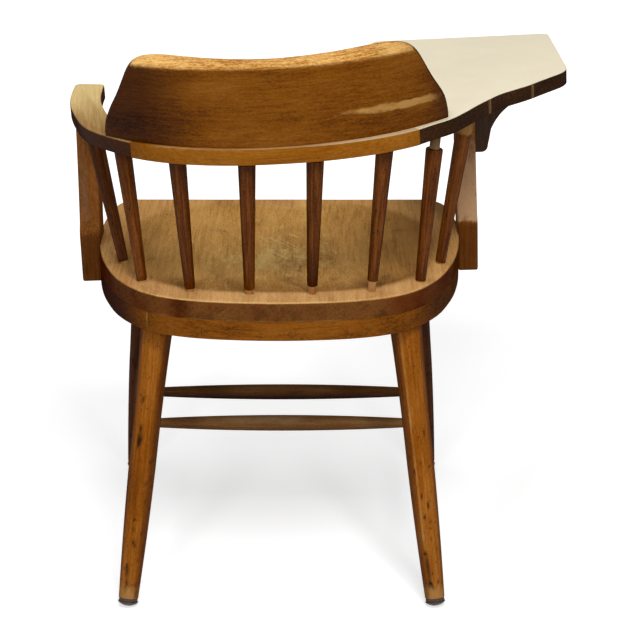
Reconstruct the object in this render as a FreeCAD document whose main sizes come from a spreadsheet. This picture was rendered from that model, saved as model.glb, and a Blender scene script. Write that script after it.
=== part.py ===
import FreeCAD, Part
import math
import os
from types import SimpleNamespace

import Sketcher
from FreeCAD import Placement, Rotation, Vector

# Writing arm windsor chair. The sitter faces -Y, X points to the sitter's left, the tablet is on -X.
# Places are measured from the middle of the seat on the floor, then moved by the origin's offset.

os.makedirs("parts", exist_ok=True)
doc = FreeCAD.newDocument("WritingArmChair")

SIZES = (
    ("origin_x", 52.5, "seat middle to the part's origin, sideways"),
    ("origin_y", 19.2, "seat middle to the part's origin, front to back"),
    ("overrun", 40.0, "reach of a cutter past the face it opens"),
    ("fit_gap", 0.15, "radial clearance of a round tenon in its hole"),
    ("end_gap", 1.0, "room past the end of a tenon or dowel"),
    ("seat_offset", 4.9, "seat's own middle, towards the left arm"),
    ("seat_half_width", 266.5, "seat middle to its side"),
    ("seat_half_depth", 232.5, "seat middle to its front or back edge"),
    ("seat_height", 444.5, "floor to the seat's top"),
    ("seat_layer", 28.0, "thickness of each of the two seat layers"),
    ("dish_depth", 11.0, "deepest point of the saddle"),
    ("dish_side", 34.0, "flat rim beside the saddle"),
    ("dish_back", 38.0, "flat rim behind the saddle"),
    ("dish_front", 6.0, "flat rim in front of the saddle"),
    ("pommel_height", 6.0, "ridge between the two thighs"),
    ("pommel_half_width", 55.0, "half width of that ridge"),
    ("rim_width", 75.0, "width of the lower, built-up rim"),
    ("rim_joint_clear", 18.75, "rear leg's axis to the back rim's butt joint, sideways"),
    ("rim_fan", 61.0, "point where the joints' lines meet, in front of the seat middle"),
    ("rim_front_clear", 54.5, "front leg's axis to the front rim's butt joint, sideways"),
    ("leg_top_radius", 23.2, "leg at the seat"),
    ("leg_middle_radius", 19.1, "leg at the stretchers"),
    ("leg_foot_radius", 13.8, "leg at the glide"),
    ("leg_swell", 0.8, "bow of the lower leg's outline"),
    ("leg_hollow", 1.2, "hollow of the upper leg's outline"),
    ("leg_tenon_radius", 12.7, "leg tenon"),
    ("leg_tenon_length", 44.0, "leg tenon above the seat's underside"),
    ("rear_inset_x", 93.0, "seat's half width less the rear leg's place at the seat"),
    ("rear_inset_y", 80.5, "seat's half depth less the rear leg's place at the seat"),
    ("rear_splay_x", 44.5, "rear leg's foot lies this much further out"),
    ("rear_splay_y", 115.0, "rear leg's foot lies this much further back"),
    ("front_inset_x", 62.0, "seat's half width less the front leg's place at the seat"),
    ("front_inset_y", 64.5, "seat's half depth less the front leg's place at the seat"),
    ("front_splay_x", 30.5, "front leg's foot lies this much further out"),
    ("front_splay_y", 32.0, "front leg's foot lies this much further forward"),
    ("front_legs_offset", 6.8, "middle of the front legs, towards the left arm"),
    ("glide_radius", 14.2, "steel cap of a glide"),
    ("glide_dome", 5.5, "height of the cap's dome"),
    ("glide_rim", 1.5, "straight rim of the cap"),
    ("glide_flat", 0.6, "wear on the dome where it stands"),
    ("cushion_radius", 13.2, "dark cushion above the cap"),
    ("cushion_height", 4.5, "thickness of the cushion"),
    ("nail_radius", 1.6, "nail of a glide"),
    ("nail_length", 16.0, "nail inside the leg"),
    ("stretcher_height", 188.0, "floor to the stretchers' axes"),
    ("stretcher_short", 3.0, "gap between a stretcher's end and the axis it points at"),
    ("side_radius", 12.5, "side stretcher, middle"),
    ("side_end_radius", 7.5, "side stretcher, ends"),
    ("cross_radius", 11.7, "cross stretcher, middle"),
    ("cross_end_radius", 6.5, "cross stretcher, ends"),
    ("cross_rear", 52.0, "rear cross stretcher, behind the seat middle"),
    ("cross_front", 66.0, "front cross stretcher, in front of the seat middle"),
    ("spindle_spare", 12.5, "height between seat and bow that the spindle's turned length leaves"),
    ("spindle_top_radius", 12.0, "spindle under the bow"),
    ("spindle_foot_radius", 7.3, "spindle above the seat"),
    ("spindle_round", 2.5, "rounded shoulder at the spindle's top"),
    ("top_tenon_radius", 7.2, "spindle's upper tenon"),
    ("foot_tenon_radius", 5.5, "spindle's lower tenon"),
    ("tenon_hold", 12.0, "tenon inside its hole"),
    ("seat_hole_depth", 20.0, "spindle hole in the seat"),
    ("bow_hole_depth", 15.0, "spindle hole in the bow"),
    ("bow_rise", 221.5, "seat's top to the bow's top, above the seat middle"),
    ("bow_tilt", 3.2, "tilt of the bow, tablet side up, degrees"),
    ("bow_thickness", 22.0, "thickness of arm, back rail and tablet"),
    ("bow_width", 45.0, "width of arm and back rail"),
    ("bow_back", 247.0, "seat middle to the back rail's rear edge"),
    ("arm_half_spread", 311.0, "seat middle to the arm's outer edge"),
    ("arm_reach", 158.0, "seat middle to the arm's front end"),
    ("arm_slant", 12.0, "inner corner of the arm's front end lies this much further back"),
    ("arm_round", 8.0, "corners of the arm's front end"),
    ("left_joint_angle", 40.5, "joint of arm and back rail, from straight back"),
    ("right_joint_angle", 36.7, "joint of back rail and tablet, from straight back"),
    ("joint_fan", 60.0, "point where those joints' lines meet, in front of the seat middle"),
    ("tablet_overhang", 105.0, "tablet's outer edge past the arm's half spread"),
    ("tablet_front", 313.0, "seat middle to the tablet's front edge"),
    ("tablet_inner", 135.0, "seat middle to the tablet's inner edge"),
    ("tablet_skew", 9.0, "inner front corner lies this much further forward"),
    ("tablet_round", 12.0, "tablet corners"),
    ("laminate", 1.5, "laminate on the tablet"),
    ("board_outer_width", 59.0, "tablet's outer board"),
    ("board_middle_width", 66.0, "tablet's middle board"),
    ("crest_radius", 318.0, "rear face of the crest, seen from above"),
    ("crest_setback", 6.0, "bow's rear edge to the crest's rear face"),
    ("crest_thickness", 22.0, "crest, front to back"),
    ("crest_height", 120.0, "crest above the bow"),
    ("crest_bevel_start", 108.5, "rear face of the crest, up to its bevel"),
    ("crest_bevel_round", 2.5, "roundness of that bevel"),
    ("crest_lean", 5.0, "crest's top lies this much further back"),
    ("crest_sweep", 116.0, "sweep of the bent crest blank, degrees"),
    ("crest_half_width", 233.5, "crest's middle to its end"),
    ("crest_offset", 5.0, "crest's middle, towards the left arm"),
    ("post_thickness", 29.5, "arm post, sideways"),
    ("post_width", 62.0, "arm post, front to back"),
    ("left_post_top", 23.23, "arm's outer edge to the middle of the left post's top, sideways"),
    ("right_post_top", 42.79, "bow's outer edge to the middle of the right post's top, sideways"),
    ("post_shoulder", 75.0, "post's bottom to its shoulder"),
    ("post_sweep", 62.0, "post's top lies this much further forward"),
    ("post_round", 7.0, "rise of the shoulder's round"),
    ("post_hollow", 6.0, "hollow of the sweep above the shoulder"),
    ("left_post_inset", 6.4, "depth of the left post's housing in the seat's side"),
    ("right_post_inset", 0.1, "depth of the right post's housing in the seat's side"),
    ("left_post_back", 12.0, "left post's rear face, in front of the seat middle"),
    ("right_post_back", 60.0, "right post's rear face, in front of the seat middle"),
    ("seat_gap", 0.2, "clearance of a post in its housing, and under the bow"),
    ("bracket_thickness", 25.0, "tablet bracket, front to back"),
    ("bracket_setback", 12.0, "bracket's rear face behind the post's rear face at its top"),
    ("bracket_reach", 92.0, "bracket along the tablet"),
    ("bracket_drop", 104.0, "bracket below the tablet"),
    ("bracket_tip", 22.0, "thickness of the bracket at its tip"),
    ("bracket_foot", 17.0, "thickness of the bracket at its foot"),
    ("bracket_hollow", 12.5, "hollow of the bracket's curve"),
    ("dowel_radius", 4.75, "dowels"),
    ("joint_dowel_length", 34.0, "dowels across the bow's joints"),
    ("crest_dowel_drop", 9.0, "crest dowel inside the bow"),
    ("crest_dowel_rise", 28.0, "crest dowel inside the crest"),
    ("crest_dowel_angle", 18.0, "crest dowels to the sides, seen from the crest's centre"),
    ("post_dowel_rise", 13.0, "post dowel inside the arm"),
    ("post_dowel_drop", 26.0, "post dowel inside the post"),
    ("screw_radius", 2.5, "screw shank"),
    ("screw_head_radius", 5.0, "screw head"),
    ("screw_head_height", 3.2, "countersunk head"),
    ("screw_length", 62.0, "screws through the posts"),
    ("screw_inset", 14.0, "post screws from the seat's top and underside"),
    ("bracket_screw_length", 40.0, "screw through the bracket's foot"),
)


class Term:
    """A value together with the formula over the sheet's cells that gives it."""

    def __init__(self, text, value):
        self.text = text
        self.value = value

    @staticmethod
    def of(item):
        return item if isinstance(item, Term) else Term(repr(item), item)

    def join(self, sign, other, value):
        return Term(f"({self.text} {sign} {other.text})", value)

    def __add__(self, other):
        other = Term.of(other)
        return self.join("+", other, self.value + other.value)

    def __sub__(self, other):
        other = Term.of(other)
        return self.join("-", other, self.value - other.value)

    def __mul__(self, other):
        other = Term.of(other)
        return self.join("*", other, self.value * other.value)

    def __truediv__(self, other):
        other = Term.of(other)
        return self.join("/", other, self.value / other.value)

    def __radd__(self, other):
        return Term.of(other) + self

    def __rsub__(self, other):
        return Term.of(other) - self

    def __rmul__(self, other):
        return Term.of(other) * self

    def __neg__(self):
        return Term(f"(0 - {self.text})", -self.value)

    def __float__(self):
        return float(self.value)

    def root(self):
        return Term(f"sqrt({self.text})", math.sqrt(self.value))


sheet = doc.addObject("Spreadsheet::Sheet", "Sizes")
for row, (alias, value, meaning) in enumerate(SIZES, start=1):
    sheet.set(f"A{row}", meaning)
    sheet.set(f"B{row}", str(value))
    sheet.setAlias(f"B{row}", alias)
doc.recompute()
mm = SimpleNamespace(**{alias: float(sheet.get(alias)) for alias, _, _ in SIZES})
size = SimpleNamespace(**{alias: Term(f"Sizes.{alias}", value) for alias, value in vars(mm).items()})

nodes = {}
zero = Term("0", 0.0)


def at(x, y, z):
    """A place measured from the seat middle on the floor."""
    return Vector(mm.origin_x + float(x), mm.origin_y + float(y), float(z))


def along(start, end):
    """A placement at start whose Z runs towards end."""
    return Placement(start, Rotation(Vector(0, 0, 1), end - start))


def node(name, item):
    """Names the object that is written to one file."""
    item.Label = name
    nodes[name] = item
    return item


# sketches

def origin_plane(body, role):
    return next(item for item in body.Origin.OriginFeatures if item.Role == role)


def new_sketch(body, name, role):
    sketch = body.newObject("Sketcher::SketchObject", name)
    sketch.AttachmentSupport = (origin_plane(body, role), [""])
    sketch.MapMode = "FlatFace"
    return sketch


def bind_point(sketch, geometry, corner, x, y):
    """Holds one corner at (x, y), each bound to its formula."""
    for kind, axis, term in (("DistanceX", -2, x), ("DistanceY", -1, y)):
        if term.value == 0 and term.text == "0":
            sketch.addConstraint(Sketcher.Constraint("PointOnObject", geometry, corner, axis))
            continue
        index = sketch.addConstraint(Sketcher.Constraint(kind, -1, 1, geometry, corner, float(term)))
        if "Sizes" in term.text:
            sketch.setExpression(f"Constraints[{index}]", term.text)


def bound_outline(sketch, points):
    """A closed outline of (x, y) or (x, y, rise): rise bows the run that arrives there to its left."""
    points = [tuple(Term.of(part) for part in point) for point in points]
    for index, here in enumerate(points):
        before = points[index - 1]
        start = Vector(before[0].value, before[1].value, 0)
        end = Vector(here[0].value, here[1].value, 0)
        run = line(start, end)
        if len(here) == 3:
            side = Vector(start.y - end.y, end.x - start.x, 0).normalize()
            bowed = Part.BezierCurve()
            bowed.setPoles([start, (start + end) / 2 + side * 2 * here[2].value, end])
            run = bowed.toBSpline()
        geometry = sketch.addGeometry(run, False)
        bind_point(sketch, geometry, 1, before[0], before[1])
        bind_point(sketch, geometry, 2, here[0], here[1])


def turned(name, profile, placement, angle=360):
    """A piece turned about Z from a profile of (radius, height) or (radius, height, rise)."""
    body = doc.addObject("PartDesign::Body", name)
    sketch = new_sketch(body, name + "_profile", "XZ_Plane")
    bound_outline(sketch, profile)
    turning = body.newObject("PartDesign::Revolution", name + "_turning")
    turning.Profile = sketch
    turning.ReferenceAxis = (sketch, ["V_Axis"])
    turning.Angle = angle
    turning.Midplane = angle != 360
    body.Placement = placement
    return body


def pad(body, sketch, name, thickness):
    slab = body.newObject("PartDesign::Pad", name)
    slab.Profile = sketch
    slab.Length = thickness.value
    slab.setExpression("Length", thickness.text)
    return slab


def sawn(name, points, thickness, placement, role="XY_Plane"):
    """A board cut to a bound outline."""
    body = doc.addObject("PartDesign::Body", name)
    sketch = new_sketch(body, name + "_outline", role)
    bound_outline(sketch, points)
    pad(body, sketch, name + "_board", thickness)
    body.Placement = placement
    return body


def shaped(name, curves, thickness, placement, role="XY_Plane"):
    """A board cut to free curves worked out from the sizes."""
    body = doc.addObject("PartDesign::Body", name)
    sketch = new_sketch(body, name + "_outline", role)
    sketch.addGeometry(curves, False)
    pad(body, sketch, name + "_board", thickness)
    body.Placement = placement
    return body


def rod(name, radius, length, placement):
    item = doc.addObject("Part::Cylinder", name)
    item.setExpression("Radius", radius.text)
    item.setExpression("Height", length.text)
    item.Placement = placement
    return item


def block(name, width, depth, height, placement):
    item = doc.addObject("Part::Box", name)
    item.setExpression("Length", width.text)
    item.setExpression("Width", depth.text)
    item.setExpression("Height", height.text)
    item.Placement = placement
    return item


def slab_over(name, thickness, height):
    """A level slab wider than the chair, from the given height up."""
    corner = at(-2 * mm.seat_half_width, -2 * mm.seat_half_width, height)
    width = size.seat_half_width * 4
    return block(name, width, width, thickness, Placement(corner, Rotation()))


def together(name, items):
    item = doc.addObject("Part::Compound", name)
    item.Links = items
    return item


def cut(name, base, tool):
    item = doc.addObject("Part::Cut", name)
    item.Base = base
    item.Tool = tool
    return item


def shared(name, one, other):
    item = doc.addObject("Part::MultiCommon", name)
    item.Shapes = [one, other]
    return item


def fused(name, items):
    item = doc.addObject("Part::MultiFuse", name)
    item.Shapes = items
    return item


def line(start, end):
    return Part.LineSegment(start, end)


def polygon(points):
    """Closed straight outline."""
    return [line(points[index - 1], point) for index, point in enumerate(points)]


def smooth(points):
    curve = Part.BSplineCurve()
    curve.interpolate(points)
    return curve


def mirrored(points):
    """A half outline from the middle outwards, made whole from its mirrored end."""
    other = [Vector(-point.x, point.y, 0) for point in points[:0:-1]]
    return other + points


# seat

SEAT_SHARES = (
    (0.0, 1.0), (0.204, 0.989), (0.448, 0.946), (0.68, 0.822), (0.7955, 0.671), (0.8615, 0.533),
    (0.905, 0.396), (0.941, 0.254), (0.967, 0.108), (0.989, -0.082), (1.0, -0.36), (0.992, -0.6),
    (0.966, -0.787), (0.93, -0.922), (0.855, -1.0),
)
DISH_POWER_SHARE = 2.4
DISH_CORNER_SHARE = 2.6
DISH_REACH_SHARE = 1.12
DISH_GRID = 13

underside = size.seat_height - size.seat_layer * 2
bow_height = size.seat_height + size.bow_rise
spindle_length = size.bow_rise - size.bow_thickness - size.spindle_spare
tablet_out = size.arm_half_spread + size.tablet_overhang
middle_height = size.seat_height - size.seat_layer


def seat_place(height):
    return Placement(at(mm.seat_offset, 0, height), Rotation())


def seat_outline(half_width, half_depth):
    half = [Vector(half_width * x, half_depth * y, 0) for x, y in SEAT_SHARES]
    whole = mirrored(half)
    return [smooth(whole), line(whole[-1], whole[0])]


def saddle_surface():
    """A bowl of power DISH_POWER_SHARE below the seat's top, with a ridge at its front middle.

    Its border is a superellipse of power DISH_CORNER_SHARE."""
    half_x = mm.seat_half_width - mm.dish_side
    front = mm.seat_half_depth - mm.dish_front
    back = mm.seat_half_depth - mm.dish_back
    middle_y = (back - front) / 2
    half_y = (back + front) / 2
    shares = [DISH_REACH_SHARE * (2 * step / (DISH_GRID - 1) - 1) for step in range(DISH_GRID)]
    rows = []
    for v in shares:
        row_points = []
        for u in shares:
            reach = (abs(u) ** DISH_CORNER_SHARE + abs(v) ** DISH_CORNER_SHARE) ** (1 / DISH_CORNER_SHARE)
            bowl = mm.dish_depth * (reach ** DISH_POWER_SHARE - 1)
            ridge = math.exp(-((u * half_x / mm.pommel_half_width) ** 2)) * max(0.0, -v) ** 2
            height = mm.seat_height + bowl + mm.pommel_height * ridge
            row_points.append(at(mm.seat_offset + u * half_x, middle_y + v * half_y, height))
        rows.append(row_points)
    surface = Part.BSplineSurface()
    surface.interpolate(rows)
    return surface


def rim_areas():
    """Plan outlines that part the rim into its four pieces."""
    far = 2 * mm.seat_half_width
    fan = Vector(0, -mm.rim_fan, 0)
    angle = math.atan2(rear_top_x.value - mm.rim_joint_clear, rear_top_y.value + mm.rim_fan)
    left_far = fan + Vector(math.sin(angle), math.cos(angle), 0) * far
    right_far = Vector(-left_far.x, left_far.y, 0)
    front = front_top_x.value - mm.rim_front_clear
    left = [Vector(front, -far, 0), Vector(front, fan.y, 0), fan, left_far,
            Vector(far, left_far.y, 0), Vector(far, -far, 0)]
    return {
        "seat_rim_back": [fan, left_far, right_far],
        "seat_rim_left": left,
        "seat_rim_right": [Vector(-point.x, point.y, 0) for point in left],
        "seat_rim_front": [Vector(front, -far, 0), Vector(front, fan.y, 0),
                           Vector(-front, fan.y, 0), Vector(-front, -far, 0)],
    }


def make_seat(housings, bores):
    outline = seat_outline(mm.seat_half_width, mm.seat_half_depth)
    opening = seat_outline(mm.seat_half_width - mm.rim_width, mm.seat_half_depth - mm.rim_width)
    board = shaped("seat_blank", outline, size.seat_layer, seat_place(middle_height))
    saddle = doc.addObject("Part::Feature", "saddle_cutter")
    saddle.Shape = saddle_surface().toShape().extrude(Vector(0, 0, mm.overrun))
    housed = cut("seat_housed", cut("seat_dished", board, saddle), housings)
    node("seat_board", cut("seat_board_bored", housed, bores))
    rim = shaped("rim_ring", outline + opening, size.seat_layer, seat_place(underside))
    ring = cut("rim_housed", rim, housings)
    for name, area in rim_areas().items():
        sector = shaped(name + "_area", polygon(area), size.seat_layer,
                        Placement(at(0, 0, underside), Rotation()))
        node(name, cut(name + "_bored", shared(name + "_part", ring, sector), bores))


# legs and glides

rear_top_x = size.seat_half_width - size.rear_inset_x
rear_top_y = size.seat_half_depth - size.rear_inset_y
rear_leg = (rear_top_x, rear_top_y, rear_top_x + size.rear_splay_x, rear_top_y + size.rear_splay_y)
front_top_x = size.seat_half_width - size.front_inset_x
front_top_y = size.front_inset_y - size.seat_half_depth
front_foot_x = front_top_x + size.front_splay_x
front_foot_y = front_top_y - size.front_splay_y
front_left, front_right = [(front_top_x + offset, front_top_y, front_foot_x + offset, front_foot_y)
                           for offset in (size.front_legs_offset, -size.front_legs_offset)]
LEGS = {"rear_left": (1, rear_leg), "rear_right": (-1, rear_leg),
        "front_left": (1, front_left), "front_right": (-1, front_right)}
glide_height = size.glide_dome + size.glide_rim
leg_start = glide_height + size.cushion_height


def leg_point(leg, height):
    """Where a leg's axis passes a height, as sideways and backward terms."""
    top_x, top_y, foot_x, foot_y = leg
    share = height / underside
    return foot_x + (top_x - foot_x) * share, foot_y + (top_y - foot_y) * share


def leg_length(leg):
    across = leg[0] - leg[2]
    back = leg[1] - leg[3]
    return (across * across + back * back + underside * underside).root()


def leg_place(corner):
    """Placement along a leg's axis that lets the glide's dome stand glide_flat into the floor."""
    side, (top_x, top_y, foot_x, foot_y) = LEGS[corner]
    top = at(side * top_x.value, top_y, underside)
    foot = at(side * foot_x.value, foot_y, 0)
    direction = (top - foot).normalize()
    dome = (mm.glide_radius ** 2 + mm.glide_dome ** 2) / (2 * mm.glide_dome)
    lift = dome * (1 - direction.z) - mm.glide_flat
    return along(foot + direction * (lift / direction.z), top)


def make_leg(corner, bores):
    name = "leg_" + corner
    place = leg_place(corner)
    length = leg_length(LEGS[corner][1])
    hole = size.nail_radius + size.fit_gap
    hole_end = leg_start + size.nail_length + size.end_gap
    turning = turned(name + "_turning", [
        (hole, leg_start),
        (size.leg_foot_radius, leg_start),
        (size.leg_middle_radius, length / 2, -size.leg_swell),
        (size.leg_top_radius, length, size.leg_hollow),
        (size.leg_top_radius, length + size.overrun),
        (zero, length + size.overrun),
        (zero, hole_end),
        (hole, hole_end),
    ], place)
    above = slab_over(name + "_shoulder", size.seat_height, underside)
    tenon = rod(name + "_tenon", size.leg_tenon_radius, size.leg_tenon_length + size.overrun,
                Placement(place.multVec(Vector(0, 0, length.value - mm.overrun)), place.Rotation))
    whole = fused(name + "_whole", [cut(name + "_scribed", turning, above), tenon])
    node(name, cut(name + "_bored", whole, bores))


def leg_socket(corner):
    place = leg_place(corner)
    length = leg_length(LEGS[corner][1])
    return rod("socket_" + corner, size.leg_tenon_radius + size.fit_gap,
               size.leg_tenon_length + size.overrun + size.end_gap,
               Placement(place.multVec(Vector(0, 0, length.value - mm.overrun)), place.Rotation))


def make_glide(corner, floor):
    place = leg_place(corner)
    radius = size.glide_radius
    dome = (radius * radius + size.glide_dome * size.glide_dome) / (size.glide_dome * 2)
    chord = radius * radius + size.glide_dome * size.glide_dome
    rise = dome - (dome * dome - chord / 4).root()
    cap = turned(f"glide_cap_{corner}_turning", [
        (radius, size.glide_dome, -rise),
        (radius, glide_height),
        (size.nail_radius, glide_height),
        (size.nail_radius, leg_start + size.nail_length),
        (zero, leg_start + size.nail_length),
        (zero, zero),
    ], place)
    node("glide_cap_" + corner, cut(f"glide_cap_{corner}_worn", cap, floor))
    hole = size.nail_radius + size.fit_gap
    node("glide_cushion_" + corner, turned(f"glide_cushion_{corner}_ring", [
        (hole, glide_height),
        (size.cushion_radius, glide_height),
        (size.cushion_radius, leg_start),
        (hole, leg_start),
    ], place))


# stretchers

def make_stretcher(name, start, end, length, radius, end_radius, grip, bores=None):
    """A cigar-shaped stretcher between two axes; grip is its straight end inside the hole."""
    place = along(start, end)
    low = size.stretcher_short
    high = length - size.stretcher_short
    rise = radius - end_radius
    turning = turned(name + "_turning", [
        (end_radius, low),
        (end_radius, low + grip),
        (end_radius, high - grip, -rise),
        (end_radius, high),
        (zero, high),
        (zero, low),
    ], place)
    node(name, cut(name + "_bored", turning, bores) if bores else turning)


def stretcher_sockets(name, start, end, end_radius, depth):
    """Holes at both ends of a stretcher, open towards each other."""
    back = size.stretcher_short - size.end_gap
    sockets = []
    for index, (near, other) in enumerate(((start, end), (end, start))):
        place = along(near, other)
        place = Placement(place.multVec(Vector(0, 0, back.value)), place.Rotation)
        sockets.append(rod(f"{name}_socket_{index}", end_radius + size.fit_gap, depth, place))
    return sockets


def side_ends(side):
    """Where a side stretcher meets its rear and its front leg, as sideways and backward terms."""
    return [leg_point(LEGS[row + side][1], size.stretcher_height) for row in ("rear_", "front_")]


def side_reach(side, y):
    """How far out a side stretcher's axis lies at y."""
    (rear_x, rear_y), (front_x, front_y) = side_ends(side)
    return rear_x + (front_x - rear_x) * (y - rear_y) / (front_y - rear_y)


def make_stretchers():
    """Side and cross stretchers; gives back the hole that each leg needs."""
    leg_holes = {}
    cross_holes = []
    crosses = []
    for label, y in (("rear", size.cross_rear), ("front", -size.cross_front)):
        left = side_reach("left", y)
        right = side_reach("right", y)
        ends = at(left, y, size.stretcher_height), at(-right, y, size.stretcher_height)
        crosses.append(("stretcher_cross_" + label, *ends, left + right))
        cross_holes += stretcher_sockets("cross_" + label, *ends, size.cross_end_radius, size.overrun)
    side_tool = together("cross_holes", cross_holes)
    for label, side in (("left", 1), ("right", -1)):
        (rear_x, rear_y), (front_x, front_y) = side_ends(label)
        run_x = front_x - rear_x
        run_y = front_y - rear_y
        side_length = (run_x * run_x + run_y * run_y).root()
        start = at(side * rear_x.value, rear_y, size.stretcher_height)
        end = at(side * front_x.value, front_y, size.stretcher_height)
        sockets = stretcher_sockets("side_" + label, start, end, size.side_end_radius, size.overrun)
        leg_holes["rear_" + label], leg_holes["front_" + label] = sockets
        make_stretcher("stretcher_side_" + label, start, end, side_length, size.side_radius,
                       size.side_end_radius, size.leg_middle_radius, side_tool)
    for name, start, end, length in crosses:
        make_stretcher(name, start, end, length, size.cross_radius, size.cross_end_radius,
                       size.side_radius)
    return leg_holes


# bow: left arm, back rail, tablet

BOW_SHARES = (
    (0.0, 1.0), (0.19, 0.984), (0.415, 0.907), (0.627, 0.749), (0.778, 0.547), (0.862, 0.397),
    (0.936, 0.13), (0.987, -0.178),
)
bow_place = Placement(at(0, 0, bow_height), Rotation(Vector(0, 1, 0), mm.bow_tilt))
bow_half = [Vector(mm.arm_half_spread * x, mm.bow_back * y, 0) for x, y in BOW_SHARES]
bow_half.append(Vector(mm.arm_half_spread, -mm.arm_reach, 0))
bow_outer = smooth(mirrored(bow_half))
BOW_SAMPLES = 25


def bow_offset(distance):
    """The bow's outer curve moved inwards, from the right end to the left."""
    points = []
    for step in range(BOW_SAMPLES):
        parameter = bow_outer.FirstParameter
        parameter += (bow_outer.LastParameter - bow_outer.FirstParameter) * step / (BOW_SAMPLES - 1)
        tangent = bow_outer.tangent(parameter)[0]
        inward = Vector(tangent.y, -tangent.x, 0)
        points.append(bow_outer.value(parameter) + inward * distance)
    return smooth(points)


bow_inner = bow_offset(mm.bow_width)
bow_middle = bow_offset(mm.bow_width / 2)


def on_bow(curve, angle):
    """Point of a bow curve at an angle from straight back, seen from the seat middle."""
    low, high = curve.FirstParameter, curve.LastParameter
    for _ in range(50):
        middle = (low + high) / 2
        point = curve.value(middle)
        if math.degrees(math.atan2(point.x, point.y)) < angle:
            low = middle
        else:
            high = middle
    return curve.value(low)


def round_corner(before, corner, after, radius):
    """Arc that rounds a corner, with its two ends."""
    back = (before - corner).normalize()
    ahead = (after - corner).normalize()
    half = math.acos(max(-1.0, min(1.0, back.dot(ahead)))) / 2
    reach = radius / math.tan(half)
    start = corner + back * reach
    end = corner + ahead * reach
    centre = corner + (back + ahead).normalize() * (radius / math.sin(half))
    middle = centre + (corner - centre).normalize() * radius
    return start, Part.Arc(start, middle, end), end


def joint_area(left_angle, right_angle):
    """Plan outline between two joint lines that fan out from one point."""
    far = 4 * mm.arm_half_spread
    fan = Vector(0, -mm.joint_fan, 0)
    rays = []
    steps = 4
    for step in range(steps + 1):
        angle = math.radians(left_angle + (right_angle - left_angle) * step / steps)
        rays.append(fan + Vector(math.sin(angle), math.cos(angle), 0) * far)
    return polygon([fan] + rays)


def until(curve, point):
    """The part of a curve that ends at a point on it."""
    piece = curve.copy()
    piece.segment(curve.FirstParameter, curve.parameter(point))
    return piece


def arm_outline():
    """Arms and back rail as one hoop, with the left arm's rounded front end."""
    outer_end = bow_outer.value(bow_outer.LastParameter)
    inner_end = bow_inner.value(bow_inner.LastParameter) + Vector(0, mm.arm_slant, 0)
    inner_end = bow_inner.value(bow_inner.parameter(inner_end))
    outer_start = bow_outer.value(bow_outer.FirstParameter)
    inner_start = bow_inner.value(bow_inner.FirstParameter)
    rear = Vector(0, mm.arm_reach, 0)
    a_start, a_arc, a_end = round_corner(outer_end + rear, outer_end, inner_end, mm.arm_round)
    b_start, b_arc, b_end = round_corner(outer_end, inner_end, inner_end + rear, mm.arm_round)
    outer = until(bow_outer, a_start)
    inner = until(bow_inner, b_end)
    return [outer, line(outer.EndPoint, a_start), a_arc, line(a_end, b_start), b_arc,
            line(b_end, inner.EndPoint), inner, line(inner_start, outer_start)]


TABLET_EDGE_SHARES = (
    (0.447, 0.771), (0.5, 0.685), (0.553, 0.603), (0.59, 0.52), (0.625, 0.425), (0.663, 0.317),
    (0.701, 0.222), (0.739, 0.135), (0.795, 0.046), (0.85, -0.04), (0.888, -0.112), (0.927, -0.185),
)
TABLET_INNER_SHARES = (
    (1.03, -0.447), (1.09, -0.345), (1.24, -0.23), (1.45, -0.13), (1.565, -0.01), (1.585, 0.105),
    (1.53, 0.25),
)
# where the tablet's edges leave the bow, as shares of its joint's angle
TABLET_OUTER_START_SHARES = (0.5, 1.05)
TABLET_INNER_END_SHARES = (1.5, 1.0, 0.5)


def tablet_outline():
    """Outer edge, rounded corners, inner edge and its sweep into the bow's inner edge."""
    out = -tablet_out.value
    front = -mm.tablet_front
    edge = [Vector(out * x, mm.bow_back * y, 0) for x, y in TABLET_EDGE_SHARES]
    starts = [on_bow(bow_outer, -mm.right_joint_angle * share) for share in TABLET_OUTER_START_SHARES]
    slant = (edge[-1] - edge[-2]).normalize()
    back_corner = edge[-1] + slant * ((out - edge[-1].x) / slant.x)
    front_corner = Vector(out + mm.tablet_round / 2, front, 0)
    inner_corner = Vector(-mm.tablet_inner, front - mm.tablet_skew, 0)
    sweep = [Vector(-mm.tablet_inner * x, mm.tablet_front * y, 0) for x, y in TABLET_INNER_SHARES]
    ends = [on_bow(bow_inner, -mm.right_joint_angle * share) for share in TABLET_INNER_END_SHARES]
    rounding = 5 * mm.tablet_round
    a_start, a_arc, a_end = round_corner(edge[-1], back_corner, front_corner, rounding)
    b_start, b_arc, b_end = round_corner(back_corner, front_corner, inner_corner, mm.tablet_round)
    c_start, c_arc, c_end = round_corner(front_corner, inner_corner, sweep[0], mm.tablet_round)
    outer_curve = smooth(starts + edge + [a_start])
    inner_curve = smooth([c_end] + sweep + ends)
    return [outer_curve, a_arc, line(a_end, b_start), b_arc, line(b_end, c_start), c_arc,
            inner_curve, line(ends[-1], starts[0])]


def under_bow(height):
    """Placement in the bow's tilted frame."""
    return bow_place.multiply(Placement(Vector(0, 0, float(height)), Rotation()))


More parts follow.
